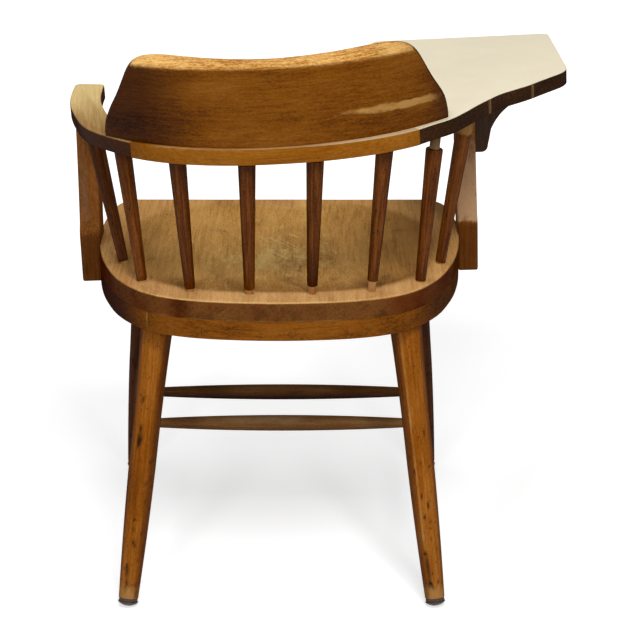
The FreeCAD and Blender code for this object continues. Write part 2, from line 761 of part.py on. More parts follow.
def make_bow(bores):
    low = under_bow(-mm.bow_thickness)
    ring = shaped("bow_blank", arm_outline(), size.bow_thickness, low)
    back_area = shaped("back_rail_area", joint_area(mm.left_joint_angle, -mm.right_joint_angle),
                       size.bow_thickness, low)
    arm_area = shaped("arm_area", joint_area(mm.left_joint_angle, 180 - mm.right_joint_angle),
                      size.bow_thickness, low)
    node("back_rail", cut("back_rail_bored", shared("back_rail_part", ring, back_area), bores))
    node("arm_left", cut("arm_left_bored", shared("arm_left_part", ring, arm_area), bores))
    outline = tablet_outline()
    board_thickness = size.bow_thickness - size.laminate
    tablet_area = joint_area(-mm.right_joint_angle, -180 - mm.left_joint_angle + mm.right_joint_angle)
    trimmer = shaped("tablet_area", tablet_area, size.bow_thickness, low)
    core = shared("tablet_core", shaped("tablet_blank", outline, board_thickness, low), trimmer)
    sheet_blank = shaped("laminate_blank", outline, size.laminate, under_bow(-mm.laminate))
    node("tablet_laminate", shared("tablet_laminate_part", sheet_blank, trimmer))
    outer_joint = tablet_out - size.board_outer_width
    edges = (-size.overrun, outer_joint - size.board_middle_width, outer_joint,
             tablet_out + size.overrun)
    for name, start, end in (("tablet_board_arm", edges[0], edges[1]),
                             ("tablet_board_middle", edges[1], edges[2]),
                             ("tablet_board_outer", edges[2], edges[3])):
        corner = bow_place.multiply(Placement(Vector(-end.value, -2 * mm.tablet_front, -mm.bow_thickness),
                                              Rotation()))
        strip = block(name + "_strip", end - start, size.tablet_front * 4, size.bow_thickness, corner)
        node(name, cut(name + "_bored", shared(name + "_part", core, strip), bores))


# crest

CREST_SHARES = (
    (1.0, 0.0), (1.0, 0.08), (0.987, 0.205), (0.935, 0.41), (0.873, 0.66), (0.832, 0.82),
    (0.797, 0.905), (0.745, 0.966), (0.67, 0.997), (0.55, 1.0), (0.27, 0.98), (0.0, 0.967),
)


def crest_axis():
    return mm.bow_back - mm.crest_setback - mm.crest_radius


def make_crest(bores):
    inside = size.crest_radius - size.crest_thickness
    lean_share = size.crest_bevel_start / size.crest_height
    axis = Vector(mm.crest_offset, crest_axis(), 0)
    place = bow_place.multiply(Placement(axis, Rotation(Vector(0, 0, 1), 90)))
    bent = turned("crest_bent", [
        (size.crest_radius, zero),
        (size.crest_radius + size.crest_lean * lean_share, size.crest_bevel_start),
        (inside + size.crest_lean, size.crest_height, -size.crest_bevel_round),
        (inside, zero),
    ], place, angle=mm.crest_sweep)
    half = [Vector(mm.crest_half_width * x, mm.crest_height * y, 0) for x, y in CREST_SHARES]
    other = [Vector(-point.x, point.y, 0) for point in half[-2::-1]]
    whole = half + other
    curve = smooth(whole)
    behind = Vector(mm.crest_offset, mm.bow_back + mm.overrun, 0)
    outline = shaped("crest_outline", [curve, line(whole[-1], whole[0])], size.bow_back * 2,
                     bow_place.multiply(Placement(behind, Rotation())), "XZ_Plane")
    node("crest_panel", cut("crest_bored", shared("crest_part", bent, outline), bores))


# spindles

# top angle on the bow, foot across and foot back as shares of the seat, share of its slack at the foot
SPINDLE_SHARES = (
    (83.4, 0.848, 0.288, 0.0), (59.6, 0.728, 0.619, 0.3), (35.6, 0.469, 0.791, 0.7),
    (11.5, 0.1615, 0.834, 0.6), (-11.7, -0.1615, 0.834, 0.75), (-35.6, -0.469, 0.791, 0.8),
    (-57.0, -0.728, 0.619, 0.0), (-74.9, -0.848, 0.288, 0.0),
)


# how far a quarter circle rises above its chord, as a share of its radius
QUARTER_RISE_SHARE = 0.29


def spindle_ends(index):
    angle, x, y, _ = SPINDLE_SHARES[index]
    foot = at(x * mm.seat_half_width, y * mm.seat_half_depth, size.seat_height)
    spot = on_bow(bow_middle, angle)
    return foot, bow_place.multVec(Vector(spot.x, spot.y, -mm.bow_thickness))


def spindle_lifts(index):
    """Room that a square shoulder needs at the slanting foot and under the bow."""
    foot, top = spindle_ends(index)
    direction = (top - foot).normalize()
    foot_slope = math.tan(math.acos(direction.z))
    bow_up = bow_place.Rotation.multVec(Vector(0, 0, 1))
    top_slope = math.tan(math.acos(min(1.0, direction.dot(bow_up))))
    foot_lift = mm.spindle_foot_radius * foot_slope + mm.seat_gap
    return foot_lift, mm.spindle_top_radius * top_slope + mm.seat_gap


def make_spindle(index):
    foot, top = spindle_ends(index)
    foot_lift, top_lift = spindle_lifts(index)
    reach = (top - foot).Length
    slack = max(0.0, reach - spindle_length.value - foot_lift - top_lift)
    start = Term.of(foot_lift + slack * SPINDLE_SHARES[index][3])
    end = start + spindle_length
    name = f"spindle_{index + 1}"
    rise = size.spindle_round * QUARTER_RISE_SHARE
    node(name, turned(name + "_turning", [
        (size.foot_tenon_radius, -size.tenon_hold),
        (size.foot_tenon_radius, start),
        (size.spindle_foot_radius, start),
        (size.spindle_top_radius, end - size.spindle_round),
        (size.spindle_top_radius - size.spindle_round, end, -rise),
        (size.top_tenon_radius, end),
        (size.top_tenon_radius, Term.of(reach) + size.tenon_hold),
        (zero, Term.of(reach) + size.tenon_hold),
        (zero, -size.tenon_hold),
    ], along(foot, top)))


def spindle_holes():
    seat_holes = []
    bow_holes = []
    for index in range(len(SPINDLE_SHARES)):
        foot, top = spindle_ends(index)
        down = along(foot, top)
        start = down.multVec(Vector(0, 0, -mm.seat_hole_depth))
        seat_holes.append(rod(f"seat_hole_{index}", size.foot_tenon_radius + size.fit_gap,
                              size.seat_hole_depth + size.overrun, Placement(start, down.Rotation)))
        start = down.multVec(Vector(0, 0, (top - foot).Length - mm.overrun))
        bow_holes.append(rod(f"bow_hole_{index}", size.top_tenon_radius + size.fit_gap,
                             size.bow_hole_depth + size.overrun, Placement(start, down.Rotation)))
    return seat_holes, bow_holes


# arm posts and tablet bracket

# side, inner face, rear face and the middle of the top
POSTS = {
    "left": (1, mm.seat_half_width + mm.seat_offset - mm.left_post_inset, mm.left_post_back,
             mm.arm_half_spread - mm.left_post_top),
    "right": (-1, mm.seat_half_width - mm.seat_offset - mm.right_post_inset, mm.right_post_back,
              mm.arm_half_spread - mm.right_post_top),
}
post_rise = bow_height.value - mm.bow_thickness - underside.value


def post_place(label):
    """Corner of a post, rear and lowest, with the lean that brings its top under the bow."""
    side, inside, back, top = POSTS[label]
    lean = side * math.degrees(math.atan2(top - inside - mm.post_thickness / 2, post_rise))
    x = inside if side > 0 else -inside - mm.post_thickness
    return Placement(at(x, -back, underside), Rotation(Vector(0, 1, 0), lean))


def make_post(label, above, bores):
    height = bow_height - underside + size.overrun
    shoulder = size.post_shoulder
    width = size.post_width
    name = "post_" + label
    blank = sawn(name + "_blank", [
        (zero, zero),
        (zero, shoulder - size.post_round),
        (-size.post_round * 1.5, shoulder + size.post_round * 1.5, -size.post_round / 3),
        (-size.post_sweep, height, size.post_hollow),
        (-size.post_sweep - width, height),
        (-width - size.post_round / 2, shoulder + size.post_round, -size.post_hollow),
        (-width, size.seat_layer * 2, size.post_round / 10),
        (-width, zero),
    ], size.post_thickness, post_place(label), "YZ_Plane")
    node(name, cut(name + "_bored", cut(name + "_fitted", blank, above), bores))


def post_housing(label):
    """Housing of a post in the seat's edge."""
    side = POSTS[label][0]
    x = -mm.seat_gap if side > 0 else -mm.overrun
    corner = post_place(label).multiply(Placement(Vector(x, -mm.post_width - mm.seat_gap, -mm.overrun),
                                                  Rotation()))
    return block(f"post_housing_{label}", size.post_thickness + size.seat_gap + size.overrun,
                 size.post_width + size.seat_gap * 2, size.seat_layer * 2 + size.overrun * 2, corner)


def screw(name, length, place, gap=0.0):
    shank = size.screw_radius + gap
    head = size.screw_head_radius + gap
    return turned(name, [
        (zero, zero),
        (head, zero),
        (shank, size.screw_head_height),
        (shank, length),
        (zero, length),
    ], place)


def post_screw_places():
    """Two screws in each post, from its outer face into the seat."""
    places = []
    for label, (side, _, _, _) in POSTS.items():
        outer = mm.post_thickness if side > 0 else 0.0
        turn = Rotation(Vector(0, 1, 0), -90 * side)
        for height in (mm.screw_inset, 2 * mm.seat_layer - mm.screw_inset):
            spot = Placement(Vector(outer, -mm.post_width / 2, height), turn)
            places.append(post_place(label).multiply(spot))
    return places


def post_top(label):
    """Middle of a post's top in the bow's frame."""
    back = POSTS[label][2]
    spot = post_place(label).multVec(Vector(mm.post_thickness / 2, 0, post_rise))
    local = bow_place.inverse().multVec(spot)
    return Vector(local.x, -back - mm.post_sweep - mm.post_width / 2 + mm.post_hollow, 0)


def post_dowel_place(label):
    top = post_top(label)
    return bow_place.multiply(Placement(Vector(top.x, top.y, -mm.bow_thickness - mm.post_dowel_drop),
                                        Rotation()))


def bracket_back():
    """The bracket's rear face, from the seat middle."""
    return mm.bracket_setback - mm.right_post_back - mm.post_sweep


def bracket_face():
    """The right post's outer face at its top, in the bow's frame."""
    return post_top("right").x - mm.post_thickness / 2


def make_bracket(bores):
    face = Term.of(bracket_face())
    top = -size.bow_thickness - size.seat_gap
    foot = top - size.bracket_drop
    tip = face - size.bracket_reach
    heel = face - size.bracket_foot
    blank = sawn("bracket_blank", [
        (face + size.post_thickness / 2, top),
        (tip, top),
        (tip, top - size.bracket_tip),
        (heel - size.bracket_foot / 3, foot + size.bracket_drop / 3, size.bracket_hollow),
        (heel, foot + size.bracket_foot / 3),
        (heel + size.bracket_foot / 3, foot, size.bracket_foot / 10),
        (face + size.post_thickness / 2, foot),
    ], size.bracket_thickness, bow_place.multiply(Placement(Vector(0, bracket_back(), 0), Rotation())),
        "XZ_Plane")
    corner = post_place("right").multiply(Placement(Vector(-mm.seat_gap, -mm.post_width * 4, -mm.overrun),
                                                    Rotation()))
    clear = block("bracket_clearance", size.post_thickness * 2, size.post_width * 6, bow_height,
                  corner)
    node("tablet_bracket", cut("bracket_bored", cut("bracket_fitted", blank, clear), bores))


def bracket_screw_places():
    """One screw through the foot into the post, one through the tip into the tablet."""
    middle = bracket_back() - mm.bracket_thickness / 2
    top = -mm.bow_thickness - mm.seat_gap
    low = Placement(Vector(bracket_face() - mm.bracket_foot - mm.screw_head_height, middle,
                           top - mm.bracket_drop * 0.8), Rotation(Vector(0, 1, 0), 90))
    tip = Placement(Vector(bracket_face() - mm.bracket_reach + mm.bracket_tip, middle,
                           top - mm.bracket_tip - mm.screw_head_height), Rotation())
    return [bow_place.multiply(low), bow_place.multiply(tip)]


# dowels of the bow and the crest

def joint_dowel_places():
    """Two dowels across each joint of the bow."""
    places = []
    for angle in (mm.left_joint_angle, -mm.right_joint_angle):
        turn = math.radians(angle)
        ray = Vector(math.sin(turn), math.cos(turn), 0)
        across = Vector(ray.y, -ray.x, 0)
        fan = Vector(0, -mm.joint_fan, 0)
        spot = fan + ray * (on_bow(bow_middle, angle) - fan).dot(ray)
        for offset in (-mm.bow_width / 5, mm.bow_width / 5):
            start = spot + ray * offset - across * (mm.joint_dowel_length / 2)
            start.z = -mm.bow_thickness / 2
            end = start + across * mm.joint_dowel_length
            places.append(bow_place.multiply(along(start, end)))
    return places


def crest_dowel_places():
    places = []
    radius = mm.crest_radius - mm.crest_thickness / 2
    for angle in (mm.crest_dowel_angle, 0.0, -mm.crest_dowel_angle):
        turn = math.radians(angle)
        x = mm.crest_offset + radius * math.sin(turn)
        y = crest_axis() + radius * math.cos(turn)
        places.append(bow_place.multiply(Placement(Vector(x, y, -mm.crest_dowel_drop), Rotation())))
    return places


def longer(place, by):
    """The same placement moved back along its own Z."""
    return place.multiply(Placement(Vector(0, 0, -by), Rotation()))


def dowel_set(name, places, length):
    """Dowels in one node, and their holes."""
    dowels = []
    holes = []
    for index, place in enumerate(places):
        dowels.append(rod(f"{name}_{index}", size.dowel_radius, length, place))
        holes.append(rod(f"{name}_hole_{index}", size.dowel_radius + size.fit_gap,
                         length + size.end_gap * 2, longer(place, mm.end_gap)))
    node(name, together(name + "_set", dowels))
    return holes


def screw_set(name, places, length):
    screws = []
    holes = []
    for index, place in enumerate(places):
        screws.append(screw(f"{name}_{index}", length, place))
        holes.append(screw(f"{name}_hole_{index}", length + size.end_gap, place, size.fit_gap))
        mouth = rod(f"{name}_mouth_{index}", size.screw_head_radius + size.fit_gap, size.overrun,
                    longer(place, mm.overrun))
        holes[-1] = fused(f"{name}_bore_{index}", [holes[-1], mouth])
    node(name, together(name + "_set", screws))
    return holes


def make_chair():
    seat_holes, bow_holes = spindle_holes()
    joint_holes = dowel_set("bow_dowels", joint_dowel_places(), size.joint_dowel_length)
    crest_holes = dowel_set("crest_dowels", crest_dowel_places(),
                            size.crest_dowel_drop + size.crest_dowel_rise)
    post_dowel_holes = dowel_set("post_dowels", [post_dowel_place(label) for label in POSTS],
                                 size.post_dowel_drop + size.post_dowel_rise)
    post_screw_holes = screw_set("post_screws", post_screw_places(), size.screw_length)
    bracket_holes = screw_set("bracket_screws", bracket_screw_places(), size.bracket_screw_length * 0.8)

    for index in range(len(SPINDLE_SHARES)):
        make_spindle(index)
    sockets = [leg_socket(corner) for corner in LEGS]
    housings = together("post_housings", [post_housing(label) for label in POSTS])
    make_seat(housings, together("seat_bores", seat_holes + sockets + post_screw_holes))
    leg_holes = make_stretchers()
    floor = slab_over("floor", size.overrun, -mm.overrun)
    for corner in LEGS:
        make_leg(corner, leg_holes[corner])
        make_glide(corner, floor)
    make_bow(together("bow_bores", bow_holes + joint_holes + crest_holes
                      + post_dowel_holes + bracket_holes))
    make_crest(together("crest_bores", crest_holes))
    far = -4 * mm.arm_half_spread
    above = block("above_posts", size.arm_half_spread * 8, size.arm_half_spread * 8, bow_height,
                  under_bow(-mm.bow_thickness - mm.seat_gap).multiply(Placement(Vector(far, far, 0),
                                                                                Rotation())))
    post_bores = together("post_bores", post_dowel_holes + post_screw_holes + bracket_holes)
    for label in POSTS:
        make_post(label, above, post_bores)
    make_bracket(together("bracket_bores", bracket_holes))


def check_and_write():
    """Every object is sound and every piece is whole before a file is written."""
    for item in doc.Objects:
        if "Invalid" in item.State or "Error" in item.State:
            raise ValueError(f"{item.Label} did not build: {item.State}")
    for name, item in nodes.items():
        shape = item.Shape
        if shape.isNull() or not shape.isValid() or not shape.Solids:
            raise ValueError(f"{name} is not a sound solid")
    for name, item in nodes.items():
        item.Shape.exportStep(f"parts/{name}.step")
        box = item.Shape.optimalBoundingBox()
        print(name, len(item.Shape.Solids), round(item.Shape.Volume / 1000, 2),
              [round(value, 1) for value in (box.XMin, box.YMin, box.ZMin, box.XMax, box.YMax, box.ZMax)])


make_chair()
doc.recompute()
check_and_write()
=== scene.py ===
import bpy
import math
import numpy as np
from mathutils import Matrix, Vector


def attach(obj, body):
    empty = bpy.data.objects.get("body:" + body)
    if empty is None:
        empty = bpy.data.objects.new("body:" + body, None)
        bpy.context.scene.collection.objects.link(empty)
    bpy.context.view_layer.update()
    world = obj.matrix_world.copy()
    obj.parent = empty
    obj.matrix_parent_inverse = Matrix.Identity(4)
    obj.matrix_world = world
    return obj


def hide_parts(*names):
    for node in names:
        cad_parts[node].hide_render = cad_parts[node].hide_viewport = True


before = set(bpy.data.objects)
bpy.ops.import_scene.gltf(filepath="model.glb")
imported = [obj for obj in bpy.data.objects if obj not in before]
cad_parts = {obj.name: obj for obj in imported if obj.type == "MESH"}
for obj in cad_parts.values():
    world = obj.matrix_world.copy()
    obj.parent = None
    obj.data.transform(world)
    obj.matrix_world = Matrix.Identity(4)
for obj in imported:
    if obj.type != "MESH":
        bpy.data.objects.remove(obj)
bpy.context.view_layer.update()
print("frame loaded:", len(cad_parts), "nodes")

# Millimetres and degrees, measured from the middle of the seat on the floor.
# The sitter faces -Y, X points to the sitter's left, the tablet is on -X.
millimetre = 0.001                # in the frame's metres
chair = {
    "middle": (52.5, 19.2, 0.0),  # the place above, in the frame
    "seatTop": 444.5,
    "seatUnder": 388.5,
    "layer": 28.0,                # each of the two seat layers
    "bowTop": 666.0,
    "bowTilt": 3.2,               # tablet side up
    "bowThick": 22.0,
    "bowWidth": 45.0,
    "bowBack": 247.0,
    "armSpread": 311.0,
    "armReach": 158.0,
}


# curves and outlines, all as whole arrays


def lerp(a, b, share):
    return a + (b - a) * share


def fade(spec, value):
    # an amount that comes in smoothly from one value to another
    amount, low, high = spec
    share = np.clip((value - low) / (high - low), 0, 1)
    return amount * (share * share * (3 - 2 * share))


def hill(spec, value):
    # an amount at a middle, falling off as a bell of some width
    amount, middle, width = spec
    return amount * np.exp(-((value - middle) / width) ** 2)


def unit(vector):
    return np.asarray(vector, float) / np.linalg.norm(vector)


def turned(angle, start):
    # degrees from start, between -180 and 180
    return (angle - start + 180) % 360 - 180


def reachAlong(path):
    # how far along a path each of its points lies
    return np.r_[0, np.cumsum(np.linalg.norm(np.diff(path, axis=0), axis=1))]


def readAt(at, known, path, **wrap):
    # a plane path read between the known values of its points
    return np.column_stack([np.interp(at, known, path[:, axis], **wrap) for axis in (0, 1)])


def splineThrough(points, count):
    # natural cubic: its second derivative solves the tridiagonal system over chord lengths
    points = np.asarray(points, float)
    knots = reachAlong(points)
    gap = np.diff(knots)
    slopes = np.diff(points, axis=0) / gap[:, None]
    inner = np.arange(1, len(points) - 1)
    system = np.eye(len(points))
    system[inner, inner - 1] = gap[:-1]
    system[inner, inner] = 2 * (gap[:-1] + gap[1:])
    system[inner, inner + 1] = gap[1:]
    right = np.zeros_like(points)
    right[inner] = 6 * np.diff(slopes, axis=0)
    bend = np.linalg.solve(system, right)
    at = np.linspace(0, knots[-1], count)
    k = np.clip(np.searchsorted(knots, at, side="right") - 1, 0, len(gap) - 1)
    w = gap[k][:, None]
    a = knots[k + 1][:, None] - at[:, None]
    b = at[:, None] - knots[k][:, None]
    cubic = (bend[k] * a ** 3 + bend[k + 1] * b ** 3) / (6 * w)
    return cubic + (points[k] / w - bend[k] * w / 6) * a + (points[k + 1] / w - bend[k + 1] * w / 6) * b


def mirrored(half):
    # half a curve from its middle outwards, made whole from the mirrored end
    half = np.asarray(half, float)
    return np.vstack([(half * (-1, 1))[:0:-1], half])


def bowed(start, end, rise, count=16):
    # quadratic from start to end whose middle stands rise to the left of the chord
    start, end = np.array(start, float), np.array(end, float)
    along = unit(end - start)
    left = np.array([-along[1], along[0]])
    t = np.linspace(0, 1, count)[:, None]
    return lerp(start, end, t) + left * rise * 4 * t * (1 - t)


def cornerArc(before, corner, after, radius, count=9):
    # arc that touches both sides of a corner
    before, corner, after = (np.array(p, float) for p in (before, corner, after))
    back, ahead = unit(before - corner), unit(after - corner)
    half = math.acos(np.clip(back @ ahead, -1, 1)) / 2
    centre = corner + unit(back + ahead) * radius / math.sin(half)
    start, end = (corner + side * radius / math.tan(half) - centre for side in (back, ahead))
    mixed = lerp(start, end, np.linspace(0, 1, count)[:, None])
    return centre + radius * mixed / np.linalg.norm(mixed, axis=1, keepdims=True)


def crossing(path, start, angle):
    # fractional index at which a path crosses the ray from start, angle from straight back
    ray = np.array([math.sin(math.radians(angle)), math.cos(math.radians(angle))])
    away = path - np.asarray(start, float)
    side = away[:, 0] * ray[1] - away[:, 1] * ray[0]
    hits = np.flatnonzero((side[:-1] * side[1:] <= 0) & (away[:-1] @ ray > 0))
    return hits[0] + side[hits[0]] / (side[hits[0]] - side[hits[0] + 1])


def stretch(path, first, last, count=300):
    # the part of a path between two fractional indices
    return readAt(np.linspace(first, last, count), np.arange(len(path)), path)


def sawnOff(outline, axis, limit, side):
    # keeps what lies on one side of a straight saw line across a closed outline
    away = (outline[:, axis] - limit) * side
    ahead = np.roll(away, -1)
    cross = np.flatnonzero(away * ahead < 0)
    share = away[cross] / (away[cross] - ahead[cross])
    cuts = lerp(outline[cross], np.roll(outline, -1, axis=0)[cross], share[:, None])
    keep = np.flatnonzero(away >= 0)
    order = np.argsort(np.r_[keep, cross + share])
    return np.vstack([outline[keep], cuts])[order]


def evenly(outline, spacing):
    # a closed outline read at even steps, anticlockwise
    closed = np.vstack([outline, outline[:1]])
    area = np.sum(closed[:-1, 0] * closed[1:, 1] - closed[1:, 0] * closed[:-1, 1])
    closed = closed if area > 0 else closed[::-1]
    reach = reachAlong(closed)
    return readAt(np.linspace(0, reach[-1], int(round(reach[-1] / spacing)), endpoint=False), reach, closed)


def outwardNormals(outline):
    # right-hand normals of a closed anticlockwise outline
    run = np.roll(outline, -1, axis=0) - np.roll(outline, 1, axis=0)
    normal = np.column_stack([run[:, 1], -run[:, 0]])
    return normal / np.maximum(np.linalg.norm(normal, axis=1, keepdims=True), 1e-9)


# placements of local points


def inBow(points):
    # the tilted frame of the bow: z is 0 on its top face
    tilt = math.radians(chair["bowTilt"])
    x, y, z = points[..., 0], points[..., 1], points[..., 2]
    return np.stack([x * math.cos(tilt) + z * math.sin(tilt), y,
                     chair["bowTop"] - x * math.sin(tilt) + z * math.cos(tilt)], axis=-1)


def alongAxis(points, start, end):
    # turns Z into the direction from start to end by the shortest rotation, then starts there
    w = unit(end - start)
    cross = np.array([[0, 0, w[0]], [0, 0, w[1]], [-w[0], -w[1], 0]])
    turn = np.eye(3) + cross + cross @ cross / (1 + w[2])
    return points @ turn.T + start


# shells: rings of points made into closed meshes


def ringFaces(rings, count, offset=0):
    # quads between neighbouring rings of count points
    ring, step = np.meshgrid(np.arange(rings - 1), np.arange(count), indexing="ij")
    here = offset + ring * count + step
    beside = offset + ring * count + (step + 1) % count
    return np.stack([here, beside, beside + count, here + count], axis=-1).reshape(-1, 4)


def shellOf(points, rings, count):
    # rings of count points with a flat cap on the first and the last
    first = np.arange(count)
    return points.reshape(-1, 3), ringFaces(rings, count), [first[::-1], first + (rings - 1) * count]


def makePiece(node, slot, shell, place, grain, wear=0.0, shade=0.0, edge=0.0):
    # writes one closed mesh in the frame's metres; grain has its Z along the wood
    points, quads, caps = shell
    flat = (place(points) + chair["middle"]) * millimetre
    flat[:, 2] = np.maximum(flat[:, 2], 0)
    fans = [np.column_stack([np.full(len(cap) - 2, cap[0]), cap[1:-1], cap[2:]]) for cap in caps]
    tris = np.vstack([quads[:, (0, 1, 2)], quads[:, (0, 2, 3)]] + fans)
    outwards = np.sum(flat[tris[:, 0]] * np.cross(flat[tris[:, 1]], flat[tris[:, 2]])) > 0
    turn = 1 if outwards else -1
    mesh = bpy.data.meshes.new(node + "_piece")
    faces = [*quads[:, ::turn].tolist(), *(cap[::turn].tolist() for cap in caps)]
    mesh.from_pydata(flat.tolist(), [], faces)
    mesh.polygons.foreach_set("use_smooth", np.ones(len(mesh.polygons), bool))
    layer = mesh.attributes.new("grain", "FLOAT_VECTOR", "POINT")
    layer.data.foreach_set("vector", (grain.reshape(-1, 3) * millimetre).astype(np.float32).ravel())
    for label, values in (("wear", wear), ("shade", shade), ("edge", edge)):
        layer = mesh.attributes.new(label, "FLOAT", "POINT")
        layer.data.foreach_set("value", np.broadcast_to(np.ravel(values), len(flat)).astype(np.float32))
    mesh.materials.append(finishes[slot])
    mesh.update()
    piece = bpy.data.objects.new(node + "_piece", mesh)
    bpy.context.scene.collection.objects.link(piece)
    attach(piece, "root")
    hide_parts(node)


def insetRings(outline, inward):
    # the outline moved inwards by each distance; points that would cross at a corner are drawn
    # between their sound neighbours
    outward = outwardNormals(outline)
    index = np.arange(len(outline))
    rings = []
    for distance in inward:
        ring = outline - outward * distance
        room = np.sqrt(((ring[:, None] - outline[None]) ** 2).sum(-1)).min(1)
        sound = room > 0.97 * distance - 0.02
        rings.append(readAt(index, index[sound], ring[sound], period=len(index)))
    return np.stack(rings)


def slab(outline, low, high, rounding, inset=6.0, spacing=2.5, steps=4):
    # a rounded edge profile carried along the outline; both faces end in a flat cap
    outline = evenly(outline, spacing)
    turn = np.linspace(0, math.pi / 2, steps + 1)
    inLower = np.r_[rounding + inset, rounding * (1 - np.sin(turn))]
    zLower = np.r_[low, low + rounding * (1 - np.cos(turn))]
    height = np.r_[zLower, (low + high - zLower)[::-1]]
    flat = insetRings(outline, np.r_[inLower, inLower[::-1]])
    points = np.dstack([flat, np.broadcast_to(height[:, None], flat.shape[:2])])
    side = np.repeat(np.r_[0, 0, np.ones(2 * steps), 0, 0], len(outline))
    return shellOf(points, len(height), len(outline)), side


def lathe(profile, sides=48):
    # a profile of radius and height turned about Z, its ends closed flat
    profile = np.asarray(profile, float)
    angle = np.linspace(0, 2 * math.pi, sides, endpoint=False)
    points = np.stack([profile[:, :1] * np.cos(angle), profile[:, :1] * np.sin(angle),
                       np.broadcast_to(profile[:, 1:], (len(profile), sides))], axis=-1)
    return shellOf(points, len(profile), sides)


def fillet(radius, height, size, turnFrom, turnTo, steps=4):
    # arc of a profile that keeps inside a corner at radius and height
    angle = np.radians(np.linspace(turnFrom, turnTo, steps))
    inner = radius - size
    middle = height + size if turnFrom < 0 else height - size
    return np.column_stack([inner + size * np.cos(angle), middle + size * np.sin(angle)])


# shader maths


def tint(red, green, blue):
    # screen values 0 to 255 as linear colour
    share = np.array([red, green, blue]) / 255
    linear = np.where(share <= 0.04045, share / 12.92, ((share + 0.055) / 1.055) ** 2.4)
    return (*linear.tolist(), 1.0)


def fill(node, values):
    # links wires to a node's inputs and sets plain values on them
    for key, value in values.items():
        if isinstance(value, Wire):
            value.tree.links.new(value.socket, node.inputs[key])
        else:
            node.inputs[key].default_value = value


class Wire:
    # one output of a node; arithmetic on wires adds Math nodes
    def __init__(self, tree, socket=None):
        self.tree = tree
        self.socket = socket

    def add(self, kind, settings=None, inputs=None, output=0):
        # any node: its settings first, then the values or wires of its sockets
        node = self.tree.nodes.new(kind)
        for key, value in (settings or {}).items():
            if key == "stops":
                elements = node.color_ramp.elements
                while len(elements) < len(value):
                    elements.new(0.5)
                for element, (position, colour) in zip(elements, value):
                    element.position = position
                    element.color = tint(*colour)
            else:
                setattr(node, key, value)
        fill(node, inputs or {})
        return Wire(self.tree, node.outputs[output])

    def math(self, operation, *values):
        return self.add("ShaderNodeMath", {"operation": operation}, dict(enumerate(values)))

    def __add__(self, other):
        return self.math("ADD", self, other)

    def __radd__(self, other):
        return self.math("ADD", other, self)

    def __sub__(self, other):
        return self.math("SUBTRACT", self, other)

    def __rsub__(self, other):
        return self.math("SUBTRACT", other, self)

    def __mul__(self, other):
        return self.math("MULTIPLY", self, other)

    def __pow__(self, other):
        return self.math("POWER", self, other)

    def largest(self, other):
        return self.math("MAXIMUM", self, other)

    def swing(self, amount):
        # noise from 0 to 1 as a change of up to amount either way
        return (self - 0.5) * (2 * amount)

    def distinct(self, low, high):
        # 0 below low, 1 above high, smooth between
        return self.add("ShaderNodeMapRange", {"interpolation_type": "SMOOTHSTEP"},
                        {"Value": self, "From Min": low, "From Max": high})

    def scaled(self, factors):
        return self.add("ShaderNodeVectorMath", {"operation": "MULTIPLY"}, {0: self, 1: factors})

    def moved(self, offset):
        return self.add("ShaderNodeVectorMath", {"operation": "ADD"}, {0: self, 1: offset})

    def length(self):
        return self.add("ShaderNodeVectorMath", {"operation": "LENGTH"}, {0: self}, 1)

    def noise(self, scale, detail=2.0, rough=0.5, distortion=0.0, start=None):
        # fractal noise over this vector; scale is cells per metre along x, y and z
        spot = (self.moved(start) if start else self).scaled(scale)
        return spot.add("ShaderNodeTexNoise", None, {
            "Vector": spot, "Scale": 1.0, "Detail": detail, "Roughness": rough, "Distortion": distortion})

    def ramp(self, *stops):
        # screen colours at positions along this value
        return self.add("ShaderNodeValToRGB", {"stops": stops}, {"Fac": self})

    def over(self, colour, mask, blend="MIX"):
        # this colour with another laid over it where mask is 1; three numbers are a screen colour
        if isinstance(colour, tuple) and len(colour) == 3:
            colour = tint(*colour)
        return self.add("ShaderNodeMix", {"data_type": "RGBA", "blend_type": blend},
                        {0: mask, 6: self, 7: colour}, 2)

    def bump(self, strength, distance):
        # this height as a change of the surface's normal
        return self.add("ShaderNodeBump", None, {"Strength": strength, "Distance": distance, "Height": self})

    def attribute(self, name, output="Fac"):
        return self.add("ShaderNodeAttribute", {"attribute_name": name}, None, output)

    def place(self):
        return self.add("ShaderNodeTexCoord", None, None, "Object")


def newFinish(name):
    material = bpy.data.materials.new(name)
    material.use_nodes = True
    return material, Wire(material.node_tree), material.node_tree.nodes["Principled BSDF"]


plainWood = {
    "dark": (70, 34, 4), "middle": (120, 68, 8), "pale": (156, 100, 34),
    "bare": (182, 140, 84), "soil": (26, 12, 4),
    "trim": ((170, 120, 60), (206, 160, 96)),    # where the edge attribute is 1
    "ring": 7.0,          # growth rings, mm
    "ringDepth": 0.05,
    "ringBend": 26.0,
    "pith": (0.06, 0.035, 0),    # the rings' middle, metres beside the grain's own
    "broad": 0.42,        # slow change of tone
    "streak": 0.42,       # fine streaks along the grain
    "thread": 330,        # streaks per metre across the grain
    "run": 14,            # streaks per metre along the grain
    "pore": 0.3,
    "mottle": 0.35,       # dirt and old lacquer
    "grit": 0.3,          # short fibres and specks
    "speck": 0.66,        # the lower, the more dark specks
    "scratch": 0.0,
    "craze": 0.0,
    "crazeCells": (300, 300, 110),
    "wearNoise": 0.9,
    "gloss": 0.36,
    "coat": 0.12,
    "stain": (0.12, 0.035, 0.0),    # what is left of a colour where shade is -1, linear; it darkens darker finish and painted shade alike
    # from where to where each of these comes in, on its noise's scale
    "poreFrom": (0.58, 0.70), "dirtFrom": (0.56, 0.80), "crazeFrom": (0.48, 0.62), "wornFrom": (0.36, 0.66),
    "nickFrom": (0.70, 0.75), "scratchFrom": (-0.7, -0.5), "glanceFrom": (0.45, 0.92),
}

